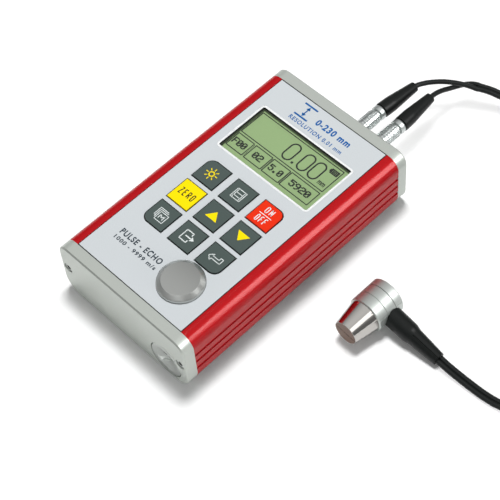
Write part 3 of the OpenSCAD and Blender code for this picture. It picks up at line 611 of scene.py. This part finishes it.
def softened(node, edge):
    """A copy of a CAD node's mesh with its edges rounded by edge mm."""
    mesh = NODES[node].data.copy()
    mesh.materials.clear()
    if "custom_normal" in mesh.attributes:
        mesh.attributes.remove(mesh.attributes["custom_normal"])
    work = bmesh.new()
    work.from_mesh(mesh)
    bmesh.ops.remove_doubles(work, verts=work.verts, dist=MERGE)
    bmesh.ops.dissolve_limit(work, angle_limit=math.radians(FLAT_ANGLE), verts=work.verts, edges=work.edges)
    for face in work.faces:
        face.smooth = True
    work.to_mesh(mesh)
    work.free()
    host = bpy.data.objects.new("softening", mesh)
    bevel = host.modifiers.new("edges", "BEVEL")
    bevel.width = edge * MM
    bevel.segments = EDGE_STEPS
    bevel.limit_method = "ANGLE"
    bevel.angle_limit = math.radians(EDGE_ANGLE)
    weighted = host.modifiers.new("flat_faces", "WEIGHTED_NORMAL")
    weighted.keep_sharp = True
    return kept_mesh(host)


def dress(node, material, edge):
    """A CAD node's own shape with softened edges and a finish."""
    return stand(node + "_finished", softened(node, edge), material, BODY_OF[node], SLOT_OF[node], node)


def joined(meshes):
    """One mesh from several."""
    work = bmesh.new()
    for mesh in meshes:
        work.from_mesh(mesh)
    for face in work.faces:
        face.material_index = 0
    result = bpy.data.meshes.new("joined")
    work.to_mesh(result)
    work.free()
    return result


# Geometry Nodes

def new_tree(name, inputs):
    """A geometry tree with named inputs, an ink and one geometry output."""
    tree = bpy.data.node_groups.new(name, "GeometryNodeTree")
    for title, kind in [("Geometry", GEOMETRY), *inputs, ("Ink", MATERIAL)]:
        tree.interface.new_socket(title, in_out="INPUT", socket_type=kind)
    tree.interface.new_socket("Geometry", in_out="OUTPUT", socket_type=GEOMETRY)
    return tree, tree.nodes.new("NodeGroupInput").outputs


def made(tree, kind, values, **settings):
    """First output of a new geometry node."""
    return put(tree, "GeometryNode" + kind, values, **settings).outputs[0]


def close_tree(tree, given, shape):
    """Ends a tree: real geometry with its ink."""
    real = made(tree, "RealizeInstances", {"Geometry": shape})
    inked = made(tree, "SetMaterial", {"Geometry": real, "Material": given["Ink"]})
    feed(tree.nodes.new("NodeGroupOutput"), {"Geometry": inked})
    return tree


def make_printed_line():
    """Flat lines of print that follow the edges of a mesh, with slightly rounded corners."""
    tree, given = new_tree("printed_line", [("Width", FLOAT), ("Thickness", FLOAT), ("Corner", FLOAT)])
    path = made(tree, "MeshToCurve", {"Mesh": given["Geometry"]})
    path = made(tree, "FilletCurve", {"Curve": path, "Count": 3, "Radius": given["Corner"], "Limit Radius": True},
                mode="POLY")
    path = made(tree, "SetCurveNormal", {"Curve": path}, mode="Z_UP")
    section = made(tree, "CurvePrimitiveQuadrilateral", {"Width": given["Width"], "Height": given["Thickness"]},
                   mode="RECTANGLE")
    line = made(tree, "CurveToMesh", {"Curve": path, "Profile Curve": section, "Fill Caps": True})
    return close_tree(tree, given, line)


def make_marks_round():
    """Equal bars set round a centre, each pointing outwards."""
    tree, given = new_tree("marks_round", [("Count", WHOLE), ("Radius", FLOAT), ("Bar", VECTOR), ("Centre", VECTOR)])
    ring = made(tree, "MeshCircle", {"Vertices": given["Count"], "Radius": given["Radius"]})
    bar = made(tree, "MeshCube", {"Size": given["Bar"]})
    outwards = put(tree, "FunctionNodeAlignRotationToVector", {"Vector": made(tree, "InputPosition", {})}, axis="X")
    bars = made(tree, "InstanceOnPoints", {"Points": ring, "Instance": bar, "Rotation": outwards.outputs[0]})
    return close_tree(tree, given, made(tree, "Transform", {"Geometry": bars, "Translation": given["Centre"]}))


def make_bars():
    """Equal bars on the points of a mesh."""
    tree, given = new_tree("bars", [("Bar", VECTOR)])
    bar = made(tree, "MeshCube", {"Size": given["Bar"]})
    return close_tree(tree, given, made(tree, "InstanceOnPoints", {"Points": given["Geometry"], "Instance": bar}))


PRINTED_LINE = make_printed_line()
MARKS_ROUND = make_marks_round()
BARS = make_bars()


def grown(tree, values, base=None):
    """The plain mesh that a geometry tree makes on a base mesh with these input values."""
    host = bpy.data.objects.new("growing", base or bpy.data.meshes.new("empty"))
    modifier = host.modifiers.new("tree", "NODES")
    modifier.node_group = tree
    for item in tree.interface.items_tree:
        if item.in_out == "INPUT" and item.name in values:
            modifier[item.identifier] = values[item.name]
    return kept_mesh(host)


# Print, all in mm on a level surface at height z, a little above it and rooted a little below

INK, INK_ROOT = 0.03, 0.02
INK_DEPTH = INK + INK_ROOT
LINE_CORNER = 0.12


def ink_middle(z):
    return z + (INK - INK_ROOT) / 2


def lines(z, ink, paths, width, corner=LINE_CORNER):
    """Printed lines along paths; a path whose last point repeats its first is closed."""
    points, edges = [], []
    for path in paths:
        shut = path[0] == path[-1]
        run = path[:-1] if shut else path
        first = len(points)
        points += [metres(x, y, ink_middle(z)) for x, y in run]
        edges += [(first + i, first + i + 1) for i in range(len(run) - 1)]
        if shut:
            edges.append((first + len(run) - 1, first))
    return grown(PRINTED_LINE, {"Width": width * MM, "Thickness": INK_DEPTH * MM, "Corner": corner * MM, "Ink": ink},
                 mesh_of("paths", points, edges, []))


def bars(z, ink, places, bar):
    """Equal printed bars."""
    points = [metres(x, y, ink_middle(z)) for x, y in places]
    return grown(BARS, {"Bar": metres(*bar, INK_DEPTH), "Ink": ink}, mesh_of("places", points, [], []))


def bars_round(z, ink, count, centre, radius, bar):
    """Printed bars round a centre."""
    return grown(MARKS_ROUND, {"Count": count, "Radius": radius * MM, "Centre": metres(*centre, ink_middle(z)),
                               "Bar": metres(*bar, INK_DEPTH), "Ink": ink})


def patch(z, ink, outline):
    """A filled printed patch."""
    n = len(outline)
    points = [metres(x, y, level) for level in (z - INK_ROOT, z + INK) for x, y in outline]
    sides = [(i, (i + 1) % n, n + (i + 1) % n, n + i) for i in range(n)]
    mesh = mesh_of("patch", points, [], [tuple(reversed(range(n))), tuple(range(n, 2 * n)), *sides])
    mesh.materials.append(ink)
    return mesh


def letters(z, ink, text, left, right, low, high, weight, spacing=1.2):
    """Lettering fitted into a rectangle; a wider spacing makes the letters narrower."""
    curve = bpy.data.curves.new("letters", "FONT")
    curve.body = text
    curve.extrude = 0.5
    curve.offset = weight
    curve.space_character = spacing
    curve.resolution_u = 4
    curve.materials.append(ink)
    mesh = kept_mesh(bpy.data.objects.new("letters", curve))
    places = [vertex.co for vertex in mesh.vertices]
    x0, x1 = min(p.x for p in places), max(p.x for p in places)
    y0, y1 = min(p.y for p in places), max(p.y for p in places)
    for place in places:
        place.x = (left + (place.x - x0) / (x1 - x0) * (right - left)) * MM
        place.y = (low + (place.y - y0) / (y1 - y0) * (high - low)) * MM
        place.z = (ink_middle(z) + place.z * INK_DEPTH) * MM
    return mesh


DOT_SHAPES = {
    "0": "01110 10001 10011 10101 11001 10001 01110", "2": "01110 10001 00001 00110 01000 10000 11111",
    "5": "11111 10000 11110 00001 00001 10001 01110", "9": "01110 10001 10001 01111 00001 00010 01100",
    "F": "11111 10000 10000 11110 10000 10000 10000", ".": "00000 00000 00000 00000 00000 01100 01100",
}
DOT_COLUMNS, DOT_ROWS = 6, 7
DOT_SPREAD = (1.75, 1.3)


def dot_letters(z, ink, text, left, right, low, high):
    """Characters of a dot display, five dots wide and seven high, with a free column between them."""
    across, up = (right - left) / (DOT_COLUMNS * len(text) - 1), (high - low) / DOT_ROWS
    places = []
    for i, sign in enumerate(text):
        for row, dots in enumerate(DOT_SHAPES[sign].split()):
            places += [(left + (DOT_COLUMNS * i + column + 0.5) * across, high - (row + 0.5) * up)
                       for column, dot in enumerate(dots) if dot == "1"]
    return bars(z, ink, places, (DOT_SPREAD[0] * across, DOT_SPREAD[1] * up))


STROKES = {
    "E": [[(1, 1), (0, 1), (0, 0), (1, 0)], [(0, 0.52), (0.85, 0.52)]],
    "F": [[(1, 1), (0, 1), (0, 0)], [(0, 0.5), (0.85, 0.5)]],
    "M": [[(0, 0), (0, 1), (0.5, 0.4), (1, 1), (1, 0)]],
    "N": [[(0, 0), (0, 1), (1, 0), (1, 1)]],
    "O": [[(0.25, 0), (0.75, 0), (1, 0.12), (1, 0.88), (0.75, 1), (0.25, 1), (0, 0.88), (0, 0.12), (0.25, 0)]],
    "R": [[(0, 0), (0, 1), (0.75, 1), (1, 0.88), (1, 0.62), (0.75, 0.5), (0, 0.5)], [(0.5, 0.5), (1, 0)]],
    "Z": [[(0, 1), (1, 1), (0, 0), (1, 0)]],
}
STROKE_CORNER = 0.03


def stroke_letters(z, ink, text, left, right, low, high, width, gap):
    """Capitals drawn with an even stroke into a rectangle, with a gap between them."""
    letter = (right - left - gap * (len(text) - 1)) / len(text)
    wide, tall = letter - width, high - low - width
    paths = []
    for i, sign in enumerate(text):
        x0, y0 = left + i * (letter + gap) + width / 2, low + width / 2
        paths += [[(x0 + x * wide, y0 + y * tall) for x, y in stroke] for stroke in STROKES[sign]]
    return lines(z, ink, paths, width, STROKE_CORNER)


def printed(z, ink, parts):
    """One mesh from parts of print, each a function with what it takes after z and ink."""
    return joined([make(z, ink, *values) for make, *values in parts])


# Paths

NOUGHT_STEPS = 12


def rectangle(x0, y0, x1, y1):
    return [(x0, y0), (x1, y0), (x1, y1), (x0, y1), (x0, y0)]


def arc(centre, radius, start, end, count):
    """Points of an arc, angles in degrees."""
    turns = [math.radians(start + (end - start) * i / count) for i in range(count + 1)]
    return [(centre[0] + radius * math.cos(a), centre[1] + radius * math.sin(a)) for a in turns]


def closed(path):
    return path + path[:1]


def nought(x, y, half_width, half_height):
    """Path of an upright rounded nought."""
    rise = half_height - half_width
    return closed(arc((x, y + rise), half_width, 0, 180, NOUGHT_STEPS)
                  + arc((x, y - rise), half_width, 180, 360, NOUGHT_STEPS))


def row(count, start, step):
    """Places at equal steps."""
    return [(start[0] + i * step[0], start[1] + i * step[1]) for i in range(count)]


# The gauge

CAP_TURN = 32.0
DISH_SURFACE = 65.25
SLOT_END_SHADE = (22.8, 13.65, 25.7, 14.2)


def dress_battery_cap():
    """The battery cap as it is screwed home, with a black patch of painted shadow at the upper end of its coin slot.
    """
    cap = softened("battery_cap", 0.15)
    to_axis = Matrix.Translation(CAP_AXIS * MM)
    cap.transform(to_axis @ Matrix.Rotation(math.radians(CAP_TURN), 4, "Y") @ to_axis.inverted())
    home = BODY_OF["battery_cap"], SLOT_OF["battery_cap"]
    stand("battery_cap_finished", cap, BATTERY_SATIN, *home, "battery_cap")
    # Painted shadow: a thin black patch on the dish at the upper end of the coin slot.
    end = patch(DISH_SURFACE, BLACK_PRINT_AND_SHADE, rectangle(*SLOT_END_SHADE)[:-1])
    end.transform(Matrix.Rotation(math.radians(90), 4, "X"))
    stand("cap_slot_end", end, BLACK_PRINT_AND_SHADE, *home)


def dress_housing():
    dress("housing_extrusion", RED, 0.12)
    for cap in ("front_end_cap", "rear_end_cap"):
        dress(cap, CAP_SATIN, 0.12)
    for screws in ("front_screws", "rear_screws"):
        dress(screws, SCREW_STEEL, 0.12)
    dress_battery_cap()
    dress("reference_disc", DISC_STEEL, 0.06)
    dress("face_overlay", OVERLAY_FILM, 0.05)


FACE_Z, KEY_Z, LCD_Z, PANE_Z = (
    box_mm(node)[1].z for node in ("face_overlay", "key_zero", "lcd_module", "display_pane"))
ROUND_CORNER = {"key_light": (0, 1), "key_power": (1, 1), "key_memory": (0, 0), "key_enter": (1, 0)}
KEY_FLANGE = 0.9
KEY_CORNER_R = 3.4
KEY_CORNER_STEPS = 8
KEY_EDGE, KEY_EDGE_LINE = 0.42, 0.3
BORDER, BORDER_LINE, BORDER_CORNER = (-26.45, 15.6, 26.85, 44.4), 1.0, 1.2
WINDOW = (-25.95, 16.1, 26.35, 43.9)
LINER_FOOT, LINER_SKIN = 0.3, 0.05
# Width of the painted shade in the overlay's gap, and how far it laps onto the overlay.
GAP_SHADE_WIDTH, GAP_SHADE_LAP = 0.45, 0.1
PICTOGRAM = (-14.2, 50.6, -6.6, 57.7)
PLATE_LINE, STEM_LINE, STEM_END = 0.85, 0.6, 1.8
HEAD_HALF, HEAD_TIP, HEAD_BACK = 1.1, 0.55, 2.3
RANGE_WORDS = [(letters, "0-230 mm", -3.2, 16.3, 51.7, 55.2, 0.04),
               (letters, "RESOLUTION 0.01 mm", -14.4, 16.3, 46.9, 49.1, 0.02)]
METHOD_WORDS = [(letters, "PULSE - ECHO", -23.1, 1.3, -44.6, -41.5, 0.03),
                (letters, "1000 - 9999 m/s", -23.1, 1.6, -47.9, -45.9, 0.025)]


def key_edge(key):
    """Closed path along the edge of a key's opening; the keys at the corners have one round corner."""
    low, high = box_mm(key)
    inset = KEY_FLANGE - KEY_EDGE
    xs, ys = (low.x + inset, high.x - inset), (low.y + inset, high.y - inset)
    path = []
    for i, (a, b) in enumerate(((0, 0), (1, 0), (1, 1), (0, 1))):
        if ROUND_CORNER.get(key) != (a, b):
            path.append((xs[a], ys[b]))
            continue
        r = KEY_CORNER_R + KEY_EDGE
        middle = (xs[a] + (r if a == 0 else -r), ys[b] + (r if b == 0 else -r))
        path += arc(middle, r, 180 + 90 * i, 270 + 90 * i, KEY_CORNER_STEPS)
    return closed(path)


def wall(outer, thickness, low, high):
    """An upright frame inside a rectangle, between two heights."""
    x0, y0, x1, y1 = outer
    inner = (x0 + thickness, y0 + thickness, x1 - thickness, y1 - thickness)
    rings = [rectangle(*box)[:-1] for box in (outer, inner)]
    points = [metres(x, y, z) for z in (low, high) for ring in rings for x, y in ring]
    faces = []
    for i in range(4):
        k = (i + 1) % 4
        faces += [(i, k, 8 + k, 8 + i), (4 + k, 4 + i, 12 + i, 12 + k)]
        faces += [(8 + i, 8 + k, 12 + k, 12 + i), (k, i, 4 + i, 4 + k)]
    return mesh_of("wall", points, [], faces)


def gap_sign():
    """A gap that is measured: two plates with a double arrow between them."""
    x0, y0, x1, y1 = PICTOGRAM
    middle = (x0 + x1) / 2
    heads = [(patch, [(middle - way * HEAD_HALF, y + way * HEAD_BACK), (middle, y + way * HEAD_TIP),
                      (middle + way * HEAD_HALF, y + way * HEAD_BACK)]) for y, way in ((y0, 1), (y1, -1))]
    return [(lines, [[(x0, y0), (x1, y0)], [(x0, y1), (x1, y1)]], PLATE_LINE),
            (lines, [[(middle, y0 + STEM_END), (middle, y1 - STEM_END)]], STEM_LINE), *heads]


def print_face():
    """The display's white border, the window's black gasket, which also stands in for the shade on its walls,
    the dark lines round keys and overlay, which are painted shade in their gaps, and the blue and grey print.
    """
    border = lines(FACE_Z, PRINT_WHITE, [rectangle(*BORDER)], BORDER_LINE, BORDER_CORNER)
    stand("display_border", border, PRINT_WHITE, "gauge", "overlay")
    # A black gasket in the window's walls, which also stands in for the shade along them.
    liner = [wall(WINDOW, LINER_SKIN, PANE_Z, FACE_Z - LINER_SKIN),
             wall(WINDOW, LINER_FOOT, PANE_Z, PANE_Z + LINER_FOOT)]
    stand("window_liner", joined(liner), SEAL_RUBBER, "gauge", "black_plastic")
    # Painted shade: black lines round each key opening stand for the shade in the gaps round the keys.
    edges = lines(FACE_Z, BLACK_PRINT_AND_SHADE, [key_edge(key) for key in KEY_PRINT], KEY_EDGE_LINE, 0.0)
    stand("key_edges", edges, BLACK_PRINT_AND_SHADE, "gauge", "overlay")
    # Painted shade: a black strip in the gap round the overlay stands for the shade in that gap.
    low, high = box_mm("face_overlay")
    gap = GAP_SHADE_WIDTH / 2 - GAP_SHADE_LAP
    path = [(low.x, low.y - gap), (high.x + gap, low.y - gap), (high.x + gap, high.y + gap), (low.x, high.y + gap)]
    gap_shade_line = lines(FACE_Z, BLACK_PRINT_AND_SHADE, [path], GAP_SHADE_WIDTH, 0.0)
    stand("overlay_seal", gap_shade_line, BLACK_PRINT_AND_SHADE, "gauge", "black_rubber")
    stand("range_print", printed(FACE_Z, PRINT_BLUE, gap_sign() + RANGE_WORDS), PRINT_BLUE, "gauge", "overlay")
    stand("method_print", printed(FACE_Z, PRINT_GREY, METHOD_WORDS), PRINT_GREY, "gauge", "overlay")


# The display's cells: left and right edge, text, and the text's left and right edge
CELLS = [(-25.2, -15.8, "F00", -24.5, -17.2), (-14.5, -4.6, "02", -12.3, -7.2),
         (-3.6, 6.1, "5.0", -2.6, 4.6), (7.0, 23.3, "5920", 9.7, 20.9)]
CELL_LOW, CELL_HIGH = 19.5, 27.6
TEXT_LOW, TEXT_HIGH = 21.9, 25.3
DOTTED_START, DOTTED_COUNT, DOTTED_STEP, DOTTED_BAR = 0.5, 11, 0.7, (0.36, 0.36)
READING_FRAME = (-25.2, 28.9, 23.3, 42.5)
READING_Y, NOUGHTS_X = 35.4, (-1.0, 7.7, 14.1)
NOUGHT_HALVES = (2.42, 4.8)
FRAME_LINE, NOUGHT_LINE, BATTERY_LINE = 0.46, 0.75, 0.4
POINT_MARK = (2.55, 30.8, 3.65, 31.9)
BATTERY, BATTERY_TIP, BATTERY_CORNER = (18.4, 38.5, 22.4, 40.9), (17.7, 39.1, 18.4, 40.4), 0.05
CHARGE, CHARGE_BAR = row(5, (18.9, 39.7), (0.74, 0)), (0.62, 2.2)
UNIT = ("mm", 18.2, 22.0, 30.7, 32.6, 0.03, 1.0)


def draw_display():
    """Reading, unit, battery mark and the row of small cells on the display."""
    dress("lcd_module", LCD_GREEN, 0.1)
    frames = [rectangle(*READING_FRAME), *(rectangle(x0, CELL_LOW, x1, CELL_HIGH) for x0, x1, *_ in CELLS)]
    noughts = [nought(x, READING_Y, *NOUGHT_HALVES) for x in NOUGHTS_X]
    texts = [(dot_letters, text, left, right, TEXT_LOW, TEXT_HIGH) for _, _, text, left, right in CELLS]
    middles = [(left + right) / 2 for (_, left, *_), (right, *_) in zip(CELLS, CELLS[1:])]
    dotted = [(bars, row(DOTTED_COUNT, (x, CELL_LOW + DOTTED_START), (0, DOTTED_STEP)), DOTTED_BAR) for x in middles]
    marks = printed(LCD_Z, LCD_INK, [
        (lines, frames, FRAME_LINE), (lines, noughts, NOUGHT_LINE, 0.0), (patch, rectangle(*POINT_MARK)[:-1]),
        (lines, [rectangle(*BATTERY)], BATTERY_LINE, BATTERY_CORNER), (patch, rectangle(*BATTERY_TIP)[:-1]),
        (bars, CHARGE, CHARGE_BAR), (letters, *UNIT), *texts, *dotted])
    stand("display_marks", marks, LCD_INK, "gauge", "lcd")
    dress("display_pane", PANE, 0.1)


KEY_FINISH = {"key_zero": KEY_YELLOW, "key_power": KEY_RED}
SUN, SUN_R, SUN_STEPS, RAYS_R, RAY = (-16.2, 2.5), 1.2, 28, 2.55, (1.3, 0.42)
SUN_RING = closed(arc(SUN, SUN_R, 0, 360, SUN_STEPS)[:-1])
FINE_LINE = 0.36
LAYERS = [rectangle(-2.5, 0.0, 2.65, 5.15), [(-1.75, 0.0), (-1.75, 5.15)], [(1.85, 0.0), (1.85, 5.15)],
          [(-1.75, 1.42), (1.85, 1.42)], [(-1.75, 3.2), (1.85, 3.2)]]
SHEETS = [rectangle(-17.6, -29.85, -13.1, -25.45), [(-18.4, -29.1), (-18.4, -24.65), (-13.85, -24.65)],
          [(-19.15, -28.4), (-19.15, -23.95), (-14.5, -23.95)]]
TRAY = [(1.04, -25.6), (1.04, -24.2), (-2.7, -24.2), (-2.7, -29.5), (1.2, -29.5), (1.2, -28.3)]
ENTER_ARROW = [(12.7, -26.95), (14.6, -28.7), (14.6, -27.6), (19.4, -27.6), (19.4, -25.0), (18.0, -25.0),
               (18.0, -26.3), (14.6, -26.3), (14.6, -25.2), (12.7, -26.95)]


# For each key its ink and its print
KEY_PRINT = {
    "key_light": (PRINT_YELLOW, [(lines, [SUN_RING], 0.6, 0.0), (bars_round, 8, SUN, RAYS_R, RAY)]),
    "key_layer": (PRINT_PALE, [(lines, LAYERS, FINE_LINE)]),
    "key_power": (PRINT_WHITE, [
        (stroke_letters, "ON", 13.9, 18.05, 3.6, 7.0, 0.44, 0.85), (lines, [[(12.6, 2.57), (19.3, 2.57)]], 0.35),
        (stroke_letters, "OFF", 13.2, 18.9, -1.9, 1.7, 0.46, 0.7)]),
    "key_zero": (BLACK_PRINT_AND_SHADE, [(stroke_letters, "ZERO", -20.35, -12.05, -13.8, -10.1, 0.45, 0.8)]),
    "key_up": (PRINT_YELLOW, [(patch, [(-3.1, -14.1), (3.37, -14.1), (0.13, -9.7)])]),
    "key_down": (PRINT_YELLOW, [(patch, [(12.93, -9.8), (16.2, -14.2), (19.5, -9.8)])]),
    "key_memory": (PRINT_PALE, [
        (lines, SHEETS, FINE_LINE), (stroke_letters, "M", -16.7, -14.05, -28.95, -26.2, 0.42, 0)]),
    "key_export": (PRINT_PALE, [
        (lines, [TRAY], 0.5), (lines, [[(-1.36, -26.87), (1.9, -26.87)]], 0.6),
        (patch, [(1.7, -28.1), (3.5, -26.87), (1.7, -25.6)])]),
    "key_enter": (PRINT_PALE, [(lines, [ENTER_ARROW], FINE_LINE, 0.05)]),
}


def dress_keys():
    for key, (ink, parts) in KEY_PRINT.items():
        dress(key, KEY_FINISH.get(key, KEY_GREY), 0.06)
        stand(key + "_print", printed(KEY_Z, ink, parts), ink, key, SLOT_OF[key])


# The plugs, the probe and the pieces inside: finish, and rounding of the edges in mm

PLUG_LOOKS = {"plug_nut_": (NICKEL, 0.12), "plug_boot_": (RUBBER, 0.2), "socket_nut_": (NICKEL, 0.12),
              "plug_body_": (NICKEL, 0.06), "socket_": (NICKEL, 0.06)}
PROBE_LOOKS = {"probe_nose": (CHROME, 0.12), "probe_case": (RING_SILVER, 0.05), "probe_back": (RING_SILVER, 0.12),
               "probe_delay_blocks": (RESIN, 0.05), "probe_barrier": (CORK, 0.03), "probe_boot": (RUBBER, 0.15)}
INSIDE = {"lcd_frame": SPRING_STEEL, "main_board": BOARD_GREEN, "key_domes": SPRING_STEEL,
          "battery_sleeve": MOULDED_BLACK, "battery_cells": CELL_FILM, "battery_contact": BRASS,
          "battery_spring": SPRING_STEEL, "cap_o_ring": SEAL_RUBBER}


def dress_plugs():
    for side in "ab":
        dress("plug_sleeve_" + side, knurled_nickel(side), 0.07)
        for name, look in PLUG_LOOKS.items():
            dress(name + side, *look)


def dress_probe():
    for node, look in PROBE_LOOKS.items():
        dress(node, *look)


def finish_inside():
    """Finishes of the pieces inside, whose CAD shapes are shown as they are."""
    for node, material in INSIDE.items():
        mesh = NODES[node].data
        mesh.materials.clear()
        mesh.materials.append(material)


# The cords, in mm, along the routes of the part's source

LEAD_D = 2.3
TWIN_WIDTH = 4.4
LEAD_A = [(5.1, 100.3, 15.5), (5.5, 107.3, 15.3), (7.2, 111.4, 15.2), (9.9, 115.3, 15), (13, 118.8, 14.6),
          (16.4, 121.9, 13.9), (19.9, 124.6, 13), (22.5, 126.3, 12.2), (24.9, 127.6, 11.4)]
LEAD_B = [(15.4, 100.3, 15.5), (15, 107.3, 15.3), (14.9, 111.4, 14.6), (15.2, 115.3, 13.3), (15.8, 119, 11.8),
          (16.7, 122.4, 10.8), (18.4, 126, 10.5), (20.8, 128.5, 10.9), (23.7, 129.9, 11.3)]
GAUGE_SIDE = [(24.6, 128.9, 11.3), (29, 131.4, 10.4), (33.7, 133.6, 9), (39.5, 135.7, 7.2), (46, 137.2, 5.4),
              (54, 137.9, 3.6), (63, 137.2, 2.5), (72, 134.8, 2.1), (81, 131.2, 2), (90, 128, 2), (97.6, 126.6, 2)]
PROBE_SIDE = [(140.4, 83.6, 5.2), (141, 76, 4), (142.4, 67, 2.8), (145, 57.5, 1.9), (148, 48.5, 1.4), (149.6, 40, 1.3),
              (149.6, 31.5, 1.3), (147, 23.8, 1.3), (141.2, 18, 1.3), (134.5, 15.2, 1.3), (127.5, 14.1, 1.3),
              (120.5, 13.8, 1.4), (114, 13.6, 1.8), (108.5, 13.5, 2.4), (103.55, 13.5, 3.1)]
COIL_CENTRE = (114, 100)
COIL_COLUMNS = (26.2, 21.8)
COIL_LAYERS = (1.95, 4.35, 6.75)
COIL_SLOTS = [(0, 0), (1, 0), (1, 1), (0, 1), (0, 2), (1, 2)]
COIL_TURNS = 5.25
COIL_STEPS = 24
SHIFT_SHARE = 0.15
EXIT_HUMP, EXIT_HASTE = 2.5, 1.6
LOBE_STEP = 1.0
LEAD_STEPS, TWIN_STEPS = 5, 4
LEAD_SIDES, LOBE_SIDES = 20, 14
CREASE_ANGLE = 40


def eased(share):
    """0 to 1 with soft ends."""
    share = min(max(share, 0), 1)
    return share * share * (3 - 2 * share)


def coil_points():
    """Turns of the coil, clockwise from the top: each turn ends by moving to the next place in the bundle.
    A later turn moves earlier in its round, so that its place is free for the turn before it."""
    points = []
    for i in range(int(COIL_TURNS * COIL_STEPS) + 1):
        turn, part = divmod(i / COIL_STEPS, 1)
        turn = int(turn)
        column, layer = COIL_SLOTS[turn]
        radius, height = COIL_COLUMNS[column], COIL_LAYERS[layer]
        if turn + 1 < len(COIL_SLOTS):
            end = 1 - turn * SHIFT_SHARE
            moved = eased((part - end + SHIFT_SHARE) / SHIFT_SHARE)
            column, layer = COIL_SLOTS[turn + 1]
            radius += (COIL_COLUMNS[column] - radius) * moved
            height += (COIL_LAYERS[layer] - height) * moved
        else:
            leaving = eased(part / (COIL_TURNS % 1))
            radius += (COIL_COLUMNS[0] - radius) * leaving
            height += EXIT_HUMP * math.sin(math.pi / 2 * min(1, leaving * EXIT_HASTE))
        angle = math.pi / 2 - 2 * math.pi * i / COIL_STEPS
        points.append((COIL_CENTRE[0] + radius * math.cos(angle), COIL_CENTRE[1] + radius * math.sin(angle), height))
    return points


def flowing(points, steps):
    """A smooth curve through points, in metres."""
    run = [Vector(p) * MM for p in points]
    run = [2 * run[0] - run[1], *run, 2 * run[-1] - run[-2]]
    curve = []
    for a, b, c, d in zip(run, run[1:], run[2:], run[3:]):
        for i in range(steps):
            t = i / steps
            curve.append(0.5 * (2 * b + (c - a) * t + (2 * a - 5 * b + 4 * c - d) * t * t
                                + (3 * b - a - 3 * c + d) * t ** 3))
    return curve + [run[-2]]


def tube(path, section):
    """A closed mesh tube: a section of points across and up, in mm, carried along a path and kept level."""
    count = len(section)
    points, faces = [], []
    for i, place in enumerate(path):
        ahead = (path[min(i + 1, len(path) - 1)] - path[max(i - 1, 0)]).normalized()
        across = ahead.cross(UP).normalized()
        rise = across.cross(ahead)
        points += [place + (across * a + rise * b) * MM for a, b in section]
    for i in range(len(path) - 1):
        for j in range(count):
            k = (j + 1) % count
            faces.append((i * count + j, i * count + k, (i + 1) * count + k, (i + 1) * count + j))
    faces += [tuple(reversed(range(count))), tuple(range(len(points) - count, len(points)))]
    mesh = mesh_of("tube", points, [], faces)
    work = bmesh.new()
    work.from_mesh(mesh)
    bmesh.ops.recalc_face_normals(work, faces=work.faces)
    for face in work.faces:
        face.smooth = len(face.verts) == 4
    work.to_mesh(mesh)
    work.free()
    mesh.set_sharp_from_angle(angle=math.radians(CREASE_ANGLE))
    return mesh


def twin_section():
    """Two round jackets that run side by side and join in the middle."""
    radius, half = LEAD_D / 2, (TWIN_WIDTH - LEAD_D) / 2
    meet = math.degrees(math.acos(half / radius))
    return (arc((half, 0), radius, meet - 180, 180 - meet, LOBE_SIDES)
            + arc((-half, 0), radius, meet, 360 - meet, LOBE_SIDES))


def lay_cords():
    """Two leads from the plugs, the twin cord that they join into, and the strap on its coil."""
    start, heading = Vector(GAUGE_SIDE[0]), (Vector(GAUGE_SIDE[1]) - Vector(GAUGE_SIDE[0])).normalized()
    across = heading.cross(UP).normalized() * (TWIN_WIDTH - LEAD_D) / 2
    section = arc((0, 0), LEAD_D / 2, 0, 360, LEAD_SIDES)[:-1]
    for name, route, lobe in (("lead_a", LEAD_A, across), ("lead_b", LEAD_B, -across)):
        path = flowing([*route, start + lobe + heading * LOBE_STEP], LEAD_STEPS)
        lead = stand(name + "_jacket", tube(path, section), JACKET, "gauge", SLOT_OF[name], name)
    path = flowing([*GAUGE_SIDE, *coil_points(), *PROBE_SIDE], TWIN_STEPS)
    twin = stand("twin_cord", tube(path, twin_section()), JACKET, "gauge", SLOT_OF["cord_coil"],
                 "cord_gauge_side", "cord_coil", "cord_probe_side")
    strap = dress("cord_tie", STRAP, 0.25)


place_camera()
lay_cords()
light_studio()
dress_housing()
print_face()
draw_display()
dress_keys()
dress_plugs()
dress_probe()
finish_inside()
link_lights()
